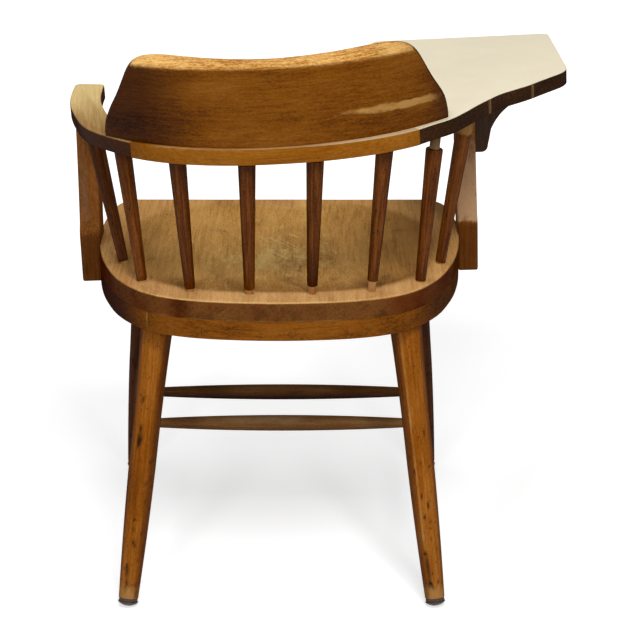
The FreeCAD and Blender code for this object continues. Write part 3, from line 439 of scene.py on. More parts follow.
# cells per metre across and along the grain, octaves, roughness, distortion, start
woodFields = {
    "broad": ((16, 16, 5), 3.0, 0.55),
    "grit": ((520, 520, 230), 3.0, 0.72, 0.0, (0.7, 0.3, 0.1)),
    "fine": ((1100, 1100, 60), 2.0, 0.5),
    "warp": ((9, 9, 1.6), 2.0, 0.5),
    "blot": ((34, 34, 14), 5.0, 0.68, 0.4),
    "speck": ((260, 260, 130), 3.0, 0.6, 0.0, (0.3, 0.1, 0.7)),
    "rub": ((70, 70, 26), 5.0, 0.7, 0.0, (0.5, 0.2, 0.9)),
    "nick": ((260, 260, 60), 5.0, 0.75, 0.0, (0.8, 0.4, 0.2)),
}


def woodFinish(name, changes):
    # tone = slow noise + streaks + rings + shade, laid over with dirt, scratches and worn places
    look = {**plainWood, **changes}
    material, wire, surface = newFinish(name)
    grain = wire.attribute("grain", "Vector")
    wear, shade, edge = (wire.attribute(label) for label in ("wear", "shade", "edge"))
    broad, grit, fine, warp, blot, speck, rub, nick = (grain.noise(*field) for field in woodFields.values())
    streak = grain.noise((look["thread"], look["thread"], look["run"]), 4.0, 0.6)
    reach = grain.moved(look["pith"]).scaled((1, 1, 0)).length()
    phase = reach * (2 * math.pi / (look["ring"] * millimetre)) + warp * look["ringBend"]
    ring = (phase.math("SINE", phase) * 0.5 + 0.5) ** 2.5
    pore = fine.distinct(*look["poreFrom"])
    tone = 0.5 + broad.swing(look["broad"]) + streak.swing(look["streak"]) + grit.swing(look["grit"])
    # shade above 0 lightens the tone: on some pieces this is painted light
    tone = tone - (ring - 0.4) * look["ringDepth"] + shade.largest(0.0) * 0.5
    colour = tone.ramp((0.05, look["dark"]), (0.5, look["middle"]), (0.95, look["pale"]))
    colour = colour.over(tone.ramp((0.3, look["trim"][0]), (0.7, look["trim"][1])), edge)
    colour = colour.over(look["dark"], pore * look["pore"] * (1 - edge * 0.7))
    # dirt spreads further where shade is below 0, also where that shade is painted
    dirt = (blot - shade * 0.12).distinct(*look["dirtFrom"]) * look["mottle"]
    dirt = dirt.largest(speck.distinct(look["speck"], look["speck"] + 0.08) * look["mottle"])
    if look["craze"]:
        cell = grain.scaled(look["crazeCells"]).moved(blot.scaled((2.5, 2.5, 1.5)))
        crack = cell.add("ShaderNodeTexVoronoi", {"feature": "DISTANCE_TO_EDGE"},
                         {"Vector": cell, "Scale": 1.0}, "Distance")
        crack = (1 - crack.distinct(0.01, 0.10)) * blot.distinct(*look["crazeFrom"])
        dirt = dirt.largest(crack * look["craze"])
    colour = colour.over(look["soil"], dirt)
    # worn places show the bare colour; on some pieces the wear attribute also carries painted highlights
    wornAndLit = (wear + rub.swing(look["wearNoise"] / 2)).distinct(*look["wornFrom"])
    bare = colour.over(look["bare"], 0.8).over(look["middle"], streak.distinct(0.5, 0.8) * 0.4)
    colour = colour.over(bare, wornAndLit)
    # shade below 0 multiplies in the stain colour: darker finish, and painted shade where a piece's shade is
    # painted
    colour = colour.over((*look["stain"], 1.0), (0 - shade) * (0.7 + broad * 0.6), "MULTIPLY")
    colour = colour.over(look["bare"], nick.distinct(*look["nickFrom"]) * 0.4)
    if look["scratch"]:
        lines = scratches(grain, wear) * shade.distinct(*look["scratchFrom"])
        colour = colour.over(look["scar"], lines * look["scratch"])
    height = streak * 0.3 - pore * 0.4 - ring * 0.1 - wornAndLit * 0.35 + blot * 0.2
    glance = wire.add("ShaderNodeLayerWeight", None, {"Blend": 0.5}, "Facing").distinct(*look["glanceFrom"])
    rough = look["gloss"] + streak.swing(0.06) + dirt * 0.12 + wornAndLit * 0.22
    fill(surface, {"Base Color": colour, "Roughness": rough, "Normal": height.bump(0.3, 0.4 * millimetre),
                   "Coat Weight": (1 - wornAndLit) * (1 - glance * 0.9) * look["coat"],
                   "Coat Roughness": 0.16, "Coat IOR": 1.45, "Specular IOR Level": 0.0})
    return material


def scratches(grain, wear):
    # thin level lines of stretched noise, turned several ways, where the surface is rubbed
    lines = []
    for turn, shift in ((0.05, 0.1), (-0.3, 0.6), (0.6, 1.3)):
        field = grain.add("ShaderNodeMapping", None,
                          {"Vector": grain, "Location": (shift, shift, shift), "Rotation": (0, turn, 0)})
        level = field.noise((110, 50, 7), 1.0) - 0.5
        gate = field.noise((60, 60, 30)).distinct(0.52, 0.60)
        lines.append((1 - level.math("ABSOLUTE", level).distinct(0.006, 0.024)) * gate)
    return lines[0].largest(lines[1]).largest(lines[2]) * wear.distinct(0.1, 0.45)


woods = {
    "seat": dict(dark=(78, 40, 10), middle=(180, 132, 68), pale=(208, 162, 94), bare=(214, 178, 112),
                 trim=((176, 124, 70), (216, 166, 106)), scratch=0.45, scar=(214, 186, 124), mottle=0.4,
                 wearNoise=0.8, broad=0.38, streak=0.3, coat=0.04, stain=(0.17, 0.045, 0.0)),
    "rim": dict(dark=(52, 22, 2), middle=(127, 72, 12), pale=(152, 94, 34), craze=0.8, coat=0.06),
    "leg": dict(dark=(72, 28, 0), middle=(134, 74, 8), pale=(170, 108, 42), bare=(170, 124, 70),
                trim=((22, 12, 6), (40, 22, 10)), broad=0.55, mottle=0.62, speck=0.63),
    "stretcher": dict(dark=(78, 46, 18), middle=(118, 78, 40), pale=(148, 108, 66), bare=(164, 130, 92),
                      wearNoise=0.6, coat=0.1),
    "spindle": dict(dark=(40, 14, 0), middle=(77, 35, 2), pale=(122, 68, 18), bare=(176, 130, 76),
                    trim=((196, 156, 102), (226, 190, 138)), mottle=0.75, broad=0.6, streak=0.6, speck=0.62,
                    gloss=0.3, coat=0.14),
    "rail": dict(dark=(100, 50, 0), middle=(136, 80, 7), pale=(162, 106, 34),
                 trim=((150, 122, 84), (196, 172, 134))),
    "arm": dict(dark=(34, 8, 0), middle=(118, 68, 10), pale=(158, 106, 40), bare=(214, 184, 124),
                trim=((196, 162, 100), (222, 194, 134)), mottle=0.25, wearNoise=0.6),
    "tablet": dict(dark=(30, 12, 2), middle=(48, 29, 15), pale=(76, 48, 26),
                   trim=((108, 76, 44), (142, 106, 66)), coat=0.04),
    "crest": dict(dark=(56, 20, 0), middle=(114, 63, 3), pale=(140, 88, 24), bare=(188, 144, 80),
                  trim=((152, 92, 22), (228, 182, 108)), mottle=0.45, wearNoise=1.0, broad=0.65, streak=0.36,
                  run=40, grit=0.45, coat=0.1),
    "post": dict(dark=(84, 42, 12), middle=(118, 66, 20), pale=(160, 102, 48), bare=(202, 162, 122),
                 gloss=0.34, coat=0.03),
    "bracket": dict(dark=(40, 18, 2), middle=(62, 40, 22), pale=(84, 60, 42)),
    "dowel": dict(dark=(150, 112, 66), middle=(196, 158, 104), pale=(218, 184, 132), coat=0.0, gloss=0.6),
}


def laminateFinish(name):
    # cream sheet with faint fibres and rubbed patches; its cut edge is dark resin
    material, wire, surface = newFinish(name)
    grain, edge = wire.attribute("grain", "Vector"), wire.attribute("edge")
    cloud = grain.noise((11, 11, 11), 4.0, 0.6)
    fibre = grain.noise((90, 700, 60), 3.0, 0.6)
    speck = grain.noise((420, 420, 420)).distinct(0.68, 0.75)
    cream = cloud.ramp((0.2, (222, 209, 178)), (0.8, (233, 222, 191)))
    cream = cream.over((216, 200, 166), fibre.distinct(0.5, 0.8) * 0.35).over((170, 142, 104), speck * 0.25)
    fill(surface, {"Base Color": cream.over((70, 42, 26), edge.distinct(0.35, 0.65)),
                   "Roughness": 0.38 + cloud.swing(0.1) + edge * 0.2,
                   "Normal": fibre.bump(0.12, 0.2 * millimetre), "Specular IOR Level": 0.25})
    return material


def metalFinish(name, colour, dull, rust):
    # tarnished steel: brown stains and fine scratches on a dark metal
    material, wire, surface = newFinish(name)
    stain = wire.place().noise((160, 160, 160), 4.0, 0.65)
    line = wire.place().noise((900, 900, 90))
    mask = stain.distinct(0.5, 0.68)
    base = line.ramp((0.3, colour), (0.8, [value * 0.6 for value in colour]))
    fill(surface, {"Base Color": base.over(rust, mask * 0.7), "Roughness": dull + mask * 0.3,
                   "Metallic": 1 - mask * 0.75, "Normal": (stain + line * 0.3).bump(0.3, 0.2 * millimetre)})
    return material


def cushionFinish(name):
    # dark fibre with dust
    material, wire, surface = newFinish(name)
    dust = wire.place().noise((420, 420, 420), 4.0, 0.7)
    fill(surface, {"Base Color": dust.ramp((0.35, (34, 28, 24)), (0.8, (84, 70, 58))),
                   "Roughness": 0.7 + dust * 0.2, "Normal": dust.bump(0.5, 0.3 * millimetre)})
    return material


finishes = {kind + "_wood": woodFinish(kind + "Wood", look) for kind, look in woods.items()}
finishes["laminate"] = laminateFinish("creamLaminate")
finishes["glide_steel"] = metalFinish("glideSteel", (88, 76, 66), 0.38, (66, 46, 36))
finishes["screw"] = metalFinish("screwSteel", (140, 132, 120), 0.4, (96, 70, 50))
finishes["cushion"] = cushionFinish("glideCushion")
print("finishes:", len(finishes))


# The wear attribute lays bare wood open, shade below 0 darkens, trim is the edge attribute; on some pieces
# these also carry painted highlights, painted light and painted shade, said where they are set. Three numbers
# that shade a piece are an amount and from where to where it fades in, or for a spot its amount, middle and
# half width.


# seat: saddled board on a built-up rim

seat = {
    "offset": 4.9,       # the seat's own middle, towards the left arm
    "halfWidth": 266.5, "halfDepth": 232.5, "rimWidth": 75.0,
    "shares": ((0, 1), (0.204, 0.989), (0.448, 0.946), (0.68, 0.822), (0.7955, 0.671), (0.8615, 0.533),
               (0.905, 0.396), (0.941, 0.254), (0.967, 0.108), (0.989, -0.082), (1, -0.36), (0.992, -0.6),
               (0.966, -0.787), (0.93, -0.922), (0.855, -1)),
    "dishDepth": 11.0, "dishSide": 34.0, "dishBack": 38.0, "dishFront": 6.0,
    "dishPower": 2.4, "dishCorner": 2.6, "dishSoft": 1.2, "pommelHeight": 6.0, "pommelHalf": 55.0,
    "topRound": 3.5, "layerRound": 0.6,
    "spacing": 3.0, "rings": 72, "ringStart": 0.015, "ringMiddle": -20.0,
    "sideRings": (5.1, 9.5, 17.5, 24.5),    # how far down the side further rings lie
    "underside": 8.0,                       # width of the ring on the underside
    "jointAngle": 36.0, "jointFan": (0, -61), "frontJoint": 150.0,
    "dishFade": (1, 0.25, 1.8), "sideFade": (1, 0.8, 2.6),
    "rubAcrossSpot": (0.3, 5, 120), "rubBackSpot": (1, 20, 110), "dishWearAndSheen": 0.08, "rimWearAndSheen": 0.1,
    # painted shade: the dish darker towards its right, its left and its back
    "paintedShadeRight": (0.42, 60, 200), "paintedShadeLeft": (0.25, 110, 220), "paintedShadeBack": (0.45, 95, 165),
    "sideShade": -0.8, "sideSpot": (0.2, 133, 16), "sidePaintedShade": (0.15, 130, 240),
    "litFrom": (1, -125, -85), "litTo": (1, 150, 200),    # rubbed pale along the rear edge, with a painted highlight on its rounding
    "edgeSpot": (0.2, 1.2, 1.0), "edgeLit": 2.0, "glueSpot": (0.5, 27.5, 0.9), "paleSpot": (0.2, 163, 9),
    "trim": 0.55, "trimBack": (0.45, 60, 150),
    # painted shade on the far ends of the left and right rim pieces, and on all of it away from the middle
    "lowerTones": {"left": -0.72, "right": -0.45}, "lowerFade": (1, 175, 225), "lowerPaintedShade": (0.15, 60, 170),
    "lowerWearAndSheen": 0.1, "jointSpot": (0.5, 184.0, 1.5),
}


def seatPath(inset):
    # from the middle of the front edge, by the sitter's left, once round
    halfWidth, halfDepth = seat["halfWidth"] - inset, seat["halfDepth"] - inset
    curve = splineThrough(mirrored(np.array(seat["shares"]) * (halfWidth, halfDepth)), 700)[::-1]
    front = np.array([[0.0, -halfDepth]])
    return np.vstack([front, curve, front]) + (seat["offset"], 0)


def saddle(x, y):
    # bowl of power dishPower with a ridge at the front, joined softly to the flat rim; its border is a
    # superellipse of power dishCorner
    halfX = seat["halfWidth"] - seat["dishSide"]
    front = seat["halfDepth"] - seat["dishFront"]
    back = seat["halfDepth"] - seat["dishBack"]
    u = (x - seat["offset"]) / halfX
    v = (y - (back - front) / 2) / ((back + front) / 2)
    corner = seat["dishCorner"]
    reach = (np.abs(u) ** corner + np.abs(v) ** corner) ** (1 / corner)
    bowl = seat["dishDepth"] * (reach ** seat["dishPower"] - 1)
    ridge = hill((1, 0, seat["pommelHalf"]), u * halfX) * np.maximum(0, -v) ** 2
    drop = bowl + seat["pommelHeight"] * ridge
    return (drop - np.sqrt(drop * drop + seat["dishSoft"] ** 2)) / 2


def makeSeatBoard():
    # rings from the middle out to the edge, round it and down the side
    top, thick = chair["seatTop"], chair["layer"]
    outline = evenly(seatPath(0), seat["spacing"])
    outward = outwardNormals(outline)
    r, s = seat["topRound"], seat["layerRound"]
    turn = np.linspace(0, math.pi / 2, 6)
    side = np.array(seat["sideRings"])
    inward = np.r_[r * (1 - np.sin(turn)), 0 * side, s * (1 - np.sin(turn[::-1])), s + seat["underside"]]
    down = np.r_[r * (1 - np.cos(turn)), side, thick - s * (1 - np.cos(turn[::-1])), thick]
    middle = np.array([seat["offset"], seat["ringMiddle"]])
    share = np.linspace(seat["ringStart"], 1, seat["rings"])[:-1]
    inside = middle + (outline - outward * r - middle)[None] * share[:, None, None]
    flat = np.concatenate([inside, outline[None] - outward[None] * inward[:, None, None]])
    fall = np.r_[np.zeros(len(inside)), down][:, None]
    height = top - fall + saddle(flat[..., 0], flat[..., 1]) * (fall < thick - 2)
    points = np.dstack([flat, height])
    x, y = flat[..., 0] - seat["offset"], flat[..., 1]
    dish = fade(seat["dishFade"], top - height) * (fall == 0)
    onSide = fade(seat["sideFade"], fall + 0 * height)
    lit = fade(seat["litFrom"], x) * (1 - fade(seat["litTo"], x))
    rubbed = hill(seat["rubAcrossSpot"], x) * hill(seat["rubBackSpot"], y)
    wear = dish * (seat["dishWearAndSheen"] + rubbed) + seat["rimWearAndSheen"] * (1 - dish)
    # pale line on the top edge's rounding: rubbed, and a painted highlight, stronger along that stretch
    wear = wear + (1 + seat["edgeLit"] * lit) * hill(seat["edgeSpot"], fall)
    wear = wear + onSide * lit * (hill(seat["glueSpot"], fall) + hill(seat["paleSpot"], x))
    # painted shade over the dish, fading in towards its sides and its back
    paintedShade = fade(seat["paintedShadeRight"], -x) + fade(seat["paintedShadeLeft"], x) + fade(seat["paintedShadeBack"], y)
    # the side's own dark finish and a dark spot, with painted shade towards both ends
    below = seat["sideShade"] - hill(seat["sideSpot"], x) - fade(seat["sidePaintedShade"], np.abs(x))
    trim = (1 - dish) * (1 - onSide) * (seat["trim"] + fade(seat["trimBack"], y))
    makePiece("seat_board", "seat_wood", shellOf(points, len(flat), len(outline)), lambda p: p,
              points[..., (0, 2, 1)] + (300, 60, 700), wear, lerp(-paintedShade * dish, below, onSide), trim)


def makeRim():
    # four sawn pieces between the outer and the inner outline
    outer, inner = seatPath(0), seatPath(seat["rimWidth"])
    half, yOut, yIn = seat["frontJoint"], -seat["halfDepth"], seat["rimWidth"] - seat["halfDepth"]

    def between(first, last):
        runs = [stretch(path, first(path), last(path), 260) for path in (outer, inner)]
        return np.vstack([runs[0], runs[1][::-1]])

    def frontAt(x):
        # in the path's first points on the left, between its last two on the right
        return lambda path: np.interp(x, path[:40, 0], np.arange(40)) if x > 0 else len(path) - 2 + (
            (path[-2, 0] - x) / (path[-2, 0] - path[-1, 0]))

    def backAt(side):
        # looked for behind the front's corners
        return lambda path: crossing(path[100:600], seat["jointFan"], side * seat["jointAngle"]) + 100

    pieces = {
        "left": (between(frontAt(half), backAt(1)), (0, 2, 1)),
        "back": (between(backAt(1), backAt(-1)), (1, 2, 0)),
        "right": (between(backAt(-1), frontAt(-half)), (0, 2, 1)),
        "front": (np.array([(-half, yOut), (half, yOut), (half, yIn), (-half, yIn)]), (1, 2, 0)),
    }
    low = chair["seatUnder"]
    for index, (label, (outline, axes)) in enumerate(pieces.items()):
        shell, side = slab(outline, low, low + chair["layer"], seat["layerRound"])
        x = shell[0][:, 0]
        # painted shade: every piece darker away from the middle, the left and right pieces more at their far
        # ends
        tone = seat["lowerTones"].get(label, 0.0) * fade(seat["lowerFade"], np.abs(x - seat["offset"]))
        makePiece("seat_rim_" + label, "rim_wood", shell, lambda p: p,
                  shell[0][:, axes] + (90, 40, 900 * index),
                  (seat["lowerWearAndSheen"] + hill(seat["jointSpot"], x)) * side,
                  tone - fade(seat["lowerPaintedShade"], np.abs(x)))


makeSeatBoard()
makeRim()
print("seat")


# legs, glides and stretchers

legs = {
    "rear": ((173.5, 152.0), (218.0, 267.0)), "front": ((204.5, -168.0), (235.0, -200.0)),    # top and foot
    "frontOffset": 6.8,           # middle of the front legs, towards the left arm
    "foot": 13.8, "knee": 19.1, "top": 23.2, "swell": 0.8, "hollow": 1.2, "footRound": 1.2, "intoSeat": 14.0,
    "glide": 14.2, "glideRound": 0.5, "glideRing": 4.0, "dome": 5.5, "domeRim": 1.5, "domeFlat": 0.6,
    "cushion": 13.2, "cushionHeight": 4.5, "cushionRound": 0.8, "cushionRing": 6.0,
    "specks": 90, "seed": 40,     # small marks on each leg
    "speckRise": (14, 200, 1.6), "speckSize": ((1.2, 2.4), (1.5, 5.0), (0.3, 0.8)),
    "litFaceTurn": 12, "paintedShadeTurn": (1, 28, 62), "paintedShadeRise": (0.3, 200, 340),    # painted shade on each leg's sides away from its lit face, which is turned outwards; more of it under the seat
    "wear": 0.7, "footWearAndSheen": (0.5, 14, 50), "lowWearAndSheen": (0.14, 60, 190),
    "tones": {"rear": 0.2, "front": -0.15}, "paintedShadeTone": 0.62, "markTone": 0.3, "markTrim": (1.6, 0.35),
    "gleamSpot": (1, 65, 5), "gleamRise": (1, 40, 110), "gleamWearAndSheen": 0.6, "gleamTone": 0.5,
}

# dark knots and scars: degrees round the leg (90 faces back), height, half width, half height, depth
legMarks = {
    "rear_left": ((68, 296, 2.6, 7, 0.75), (70, 256, 2.0, 6, 0.9), (66, 237, 2.2, 11, 1.1),
                  (78, 240, 2.6, 9, 0.6), (80, 160, 5.0, 40, 0.3), (70, 52, 3.5, 12, 0.7),
                  (95, 90, 4.0, 16, 0.4), (78, 30, 4.0, 9, 0.6)),
    "rear_right": ((60, 195, 1.6, 5, 1.0), (82, 130, 1.4, 5, 1.0), (70, 60, 4.0, 24, 0.7),
                   (68, 30, 4.0, 12, 0.6), (118, 248, 1.4, 6, 0.9), (78, 160, 1.5, 5, 0.9),
                   (103, 146, 1.6, 6, 1.0)),
    "front_left": (), "front_right": (),
}


def legEnds(row, sign):
    # top and foot of a leg in plan
    offset = legs["frontOffset"] if row == "front" else 0.0
    return [np.array([sign * x + offset, y]) for x, y in legs[row]]


def legAxis(row, sign):
    # start on the floor and end at the seat's underside, moved up so that the dome stands on its flat
    top, foot = (np.append(end, height) for end, height in zip(legEnds(row, sign), (chair["seatUnder"], 0.0)))
    run = unit(top - foot)
    lift = domeRadius() * (1 - run[2]) - legs["domeFlat"]
    return foot + run * lift / run[2], top, np.linalg.norm(top - foot)


def domeRadius():
    # of the ball whose cap has the glide's radius and the dome's height
    return (legs["glide"] ** 2 + legs["dome"] ** 2) / (2 * legs["dome"])


def makeLegs():
    glideTop = legs["dome"] + legs["domeRim"]
    cushionTop = glideTop + legs["cushionHeight"]
    for index, corner in enumerate(legMarks):
        row, side = corner.split("_")
        start, end, length = legAxis(row, 1 if side == "left" else -1)

        def onLeg(p):
            return alongAxis(p, start, end)

        makeLeg(index, corner, onLeg, length, cushionTop)
        slope = np.linspace(0.04, math.asin(legs["glide"] / domeRadius()), 10)
        dome = domeRadius() * np.column_stack([np.sin(slope), 1 - np.cos(slope)])
        cap = lathe([*dome, *fillet(legs["glide"], glideTop, legs["glideRound"], 0, 90),
                     (legs["glide"] - legs["glideRing"], glideTop)])
        makePiece("glide_cap_" + corner, "glide_steel", cap, onLeg, cap[0])
        cushion = lathe([(legs["cushionRing"], glideTop),
                         *fillet(legs["cushion"], glideTop, legs["cushionRound"], -90, 0),
                         *fillet(legs["cushion"], cushionTop, legs["cushionRound"], 0, 90),
                         (legs["cushionRing"], cushionTop)])
        makePiece("glide_cushion_" + corner, "cushion", cushion, onLeg, cushion[0])


def makeLeg(index, corner, onLeg, length, foot):
    # two straight cones with a swell below and a hollow above, 4t(1 - t) of their depth
    row, side = corner.split("_")
    t = np.linspace(0, 1, 60)
    curve = 4 * t * (1 - t)
    lower = np.column_stack([lerp(legs["foot"], legs["knee"], t) + legs["swell"] * curve,
                             lerp(foot + legs["footRound"], length / 2, t)])
    upper = np.column_stack([lerp(legs["knee"], legs["top"], t) - legs["hollow"] * curve,
                             lerp(length / 2, length, t)])
    shell = lathe([*fillet(legs["foot"], foot, legs["footRound"], -90, 0), *lower[1:], *upper[1:],
                   (legs["top"], length + legs["intoSeat"])], 64)
    x, y, height = shell[0].T
    angle, reach = np.degrees(np.arctan2(y, x)), np.hypot(x, y)
    chance = np.random.default_rng(legs["seed"] + index)
    low, rise, power = legs["speckRise"]
    specks = [(chance.uniform(0, 360), low + rise * chance.random() ** power,
               *(chance.uniform(*span) for span in legs["speckSize"])) for _ in range(legs["specks"])]
    mark = 0.0
    for turn, level, halfWidth, halfHeight, depth in (*legMarks[corner], *specks):
        across = np.radians(turned(angle, turn)) * reach
        mark = mark + hill((depth, 0, halfWidth), across) * hill((1, level, halfHeight), height)
    # the lit face: the back on the rear legs, the front on the front legs, turned outwards; painted shade
    # grows away from it
    outwards = legs["litFaceTurn"] if side == "left" else -legs["litFaceTurn"]
    wornAndLit = (90 - outwards) * (1 if row == "rear" else -1)
    paintedShade = fade(legs["paintedShadeTurn"], np.abs(turned(angle, wornAndLit))) * (1 + fade(legs["paintedShadeRise"], height))
    wear = legs["wear"] - fade(legs["footWearAndSheen"], height) - fade(legs["lowWearAndSheen"], height)
    gleam = hill(legs["gleamSpot"], angle) * fade(legs["gleamRise"], height) * (corner == "rear_right")
    tone = legs["tones"][row] - legs["paintedShadeTone"] * paintedShade - legs["markTone"] * mark + legs["gleamTone"] * gleam
    gain, least = legs["markTrim"]
    makePiece("leg_" + corner, "leg_wood", shell, onLeg, shell[0] + (60, 20 + 45 * index, 800 * index),
              wear + legs["gleamWearAndSheen"] * gleam, tone, np.clip(gain * mark - least, 0, 1))


stretchers = {
    "height": 188.0, "sideMiddle": 12.5, "sideEnd": 7.5, "crossMiddle": 11.7, "crossEnd": 6.5,
    "cross": {"rear": 52.0, "front": -66.0},    # how far back each crosses
    "short": 3.0,        # its ends stop short of the other axis, its swell as far off the other's skin
    "wear": 0.1, "rubSpot": (0.5, 0.42, 0.3), "under": (1, 1.0, -0.7), "underWearAndSheen": 0.7, "underTone": 0.95,
    "tones": {"cross_rear": 0.6, "cross_front": -0.1, "side_left": -0.5, "side_right": -0.5},
}


def axisAt(row, sign, height):
    # where a leg's axis is at a height
    top, foot = legEnds(row, sign)
    return np.append(lerp(foot, top, height / chair["seatUnder"]), height)


def cigar(length, endRadius, middleRadius, grip):
    # straight ends and a parabola between them
    t = np.linspace(0, 1, 61)
    short = stretchers["short"]
    body = np.column_stack([lerp(endRadius, middleRadius, 4 * t * (1 - t)),
                            lerp(short + grip, length - short - grip, t)])
    return [(endRadius, short), *body, (endRadius, length - short)]


def makeStretchers():
    runs, sides = {}, []
    for side, sign in (("left", 1), ("right", -1)):
        rear, front = (axisAt(row, sign, stretchers["height"]) for row in ("rear", "front"))
        sides.append((rear, front))
        runs["side_" + side] = rear, front, "side", legs["knee"]
    for row, y in stretchers["cross"].items():
        left, right = (lerp(rear, front, (y - rear[1]) / (front[1] - rear[1])) for rear, front in sides)
        runs["cross_" + row] = left, right, "cross", stretchers["sideMiddle"]
    for index, (label, (start, end, kind, grip)) in enumerate(runs.items()):
        length, thick = math.dist(start, end), stretchers[kind + "Middle"]
        shell = lathe(cigar(length, stretchers[kind + "End"], thick, grip), 40)
        x, _, height = shell[0].T
        rub = hill(stretchers["rubSpot"], height / length) * (label == "cross_rear")
        # painted shade: the cross stretchers darker on their undersides, and less rubbed there than on top
        under = fade(stretchers["under"], x / thick) * (kind == "cross")
        makePiece("stretcher_" + label, "stretcher_wood", shell, lambda p: alongAxis(p, start, end),
                  shell[0] + (40, 30 * index, 700 * index),
                  (stretchers["wear"] + rub) * (1 - stretchers["underWearAndSheen"] * under),
                  stretchers["tones"][label] - stretchers["underTone"] * under)


makeLegs()
makeStretchers()
print("legs and stretchers")


# bow: left arm, back rail and tablet, all in the tilted frame

bow = {
    "shares": ((0, 1), (0.19, 0.984), (0.415, 0.907), (0.627, 0.749), (0.778, 0.547), (0.862, 0.397),
               (0.936, 0.13), (0.987, -0.178)),
    "fan": (0, -60), "leftJoint": 40.5, "rightJoint": -36.7,
    "armSlant": 12.0, "armCorner": 8.0, "edgeRound": 2.6, "railRound": 0.9,
    "tabletOut": 416.0, "tabletFront": 313.0, "tabletInner": 135.0, "tabletSkew": 9.0, "tabletCorner": 12.0,
    "laminate": 1.5, "laminateRound": 0.35, "laminateRing": 0.5,
    "firstJoint": -291.0, "secondJoint": -357.0, "boardRound": 0.7,
    "edgeShares": ((0.447, 0.771), (0.5, 0.685), (0.553, 0.603), (0.59, 0.52), (0.625, 0.425),
                   (0.663, 0.317), (0.701, 0.222), (0.739, 0.135), (0.795, 0.046), (0.85, -0.04),
                   (0.888, -0.112), (0.927, -0.185)),
    "innerShares": ((1.03, -0.447), (1.09, -0.345), (1.24, -0.23), (1.45, -0.13), (1.565, -0.01),
                    (1.585, 0.105), (1.53, 0.25)),
    "armTop": (1, -2.2, -0.6), "armBack": (1, -90, 110), "armRub": 0.25, "armShade": -0.83, "armTrim": 0.3,
    "strip": -0.3, "stripRight": (0.7, -60, 150), "stripEnd": (1, 150, 185), "stripTones": (0.25, -0.001),
    "railWearAndSheen": 0.1, "boardWearAndSheen": 0.08, "boardTone": 0.1, "jointHalf": 2.0, "jointTrim": 0.7,
}
bowOuter = splineThrough(mirrored([*np.array(bow["shares"]) * (chair["armSpread"], chair["bowBack"]),
                                   (chair["armSpread"], -chair["armReach"])]), 900)


def bowInset(distance):
    # the outer curve moved inwards along its normals
    run = np.gradient(bowOuter, axis=0)
    run /= np.linalg.norm(run, axis=1, keepdims=True)
    return bowOuter + np.column_stack([run[:, 1], -run[:, 0]]) * distance


bowInner, bowMiddle = bowInset(chair["bowWidth"]), bowInset(chair["bowWidth"] / 2)


def onBow(curve, angle):
    at = crossing(curve, (0, 0), angle)
    return stretch(curve, at, at, 1)[0]


def armOutline():
    # outer edge, two rounded front corners, inner edge
    outerEnd, innerEnd = bowOuter[-1], bowInner[-1] + (0, bow["armSlant"])
    behind = np.array([0, chair["armReach"]])
    first = cornerArc(outerEnd + behind, outerEnd, innerEnd, bow["armCorner"])
    second = cornerArc(outerEnd, innerEnd, innerEnd + behind, bow["armCorner"])
    outer, inner = (stretch(path, crossing(path, bow["fan"], bow["leftJoint"]), len(path) - 1)
                    for path in (bowOuter, bowInner))
    outer, inner = outer[outer[:, 1] > first[0, 1]], inner[inner[:, 1] > second[-1, 1]]
    return np.vstack([outer, first, second, inner[::-1]])


def railOutline():
    outer, inner = (stretch(path, crossing(path, bow["fan"], bow["rightJoint"]),
                            crossing(path, bow["fan"], bow["leftJoint"])) for path in (bowOuter, bowInner))
    return np.vstack([outer, inner[::-1]])


def tabletOutline():
    # outer edge out of the bow, three rounded corners, inner edge swept back into the bow
    out, front, angle = -bow["tabletOut"], -bow["tabletFront"], bow["rightJoint"]
    edge = np.array(bow["edgeShares"]) * (out, chair["bowBack"])
    slant = unit(edge[-1] - edge[-2])
    backCorner = edge[-1] + slant * (out - edge[-1, 0]) / slant[0]
    frontCorner = np.array([out + bow["tabletCorner"] / 2, front])
    innerCorner = np.array([-bow["tabletInner"], front - bow["tabletSkew"]])
    sweep = np.array(bow["innerShares"]) * (-bow["tabletInner"], bow["tabletFront"])
    first = cornerArc(edge[-1], backCorner, frontCorner, 5 * bow["tabletCorner"])
    second = cornerArc(backCorner, frontCorner, innerCorner, bow["tabletCorner"])
    third = cornerArc(frontCorner, innerCorner, sweep[0], bow["tabletCorner"])
    starts = [onBow(bowOuter, angle * share) for share in (0.5, 1.05)]
    ends = [onBow(bowInner, angle * share) for share in (1.5, 1.0, 0.5)]
    outer = splineThrough(np.vstack([starts, edge, first[:1]]), 400)
    inner = splineThrough(np.vstack([third[-1:], sweep, ends]), 500)
    outer = stretch(outer, crossing(outer, bow["fan"], angle), len(outer) - 1)
    inner = stretch(inner, 0, crossing(inner, bow["fan"], angle), 400)
    return np.vstack([outer, first, second, third, inner])


def alongGrain(points, direction, offset):
    # local coordinates whose Z runs along a direction in the bow's plane
    x, y, z = points.T
    across, along = unit(direction)
    return np.column_stack([x * along - y * across, z, x * across + y * along]) + offset


def makeArm():
    shell, _ = slab(armOutline(), -chair["bowThick"], 0, bow["edgeRound"])
    onTop = fade(bow["armTop"], shell[0][:, 2])
    front = 1 - fade(bow["armBack"], shell[0][:, 1])
    rub = bow["armRub"] * onTop * front
    # painted shade on the arm's sides; the top's front rubbed paler
    makePiece("arm_left", "arm_wood", shell, inBow, alongGrain(shell[0], (0.12, -1), (20, 60, 300)), rub,
              bow["armShade"] * (1 - onTop) + rub, onTop * lerp(bow["armTrim"], 1, front))


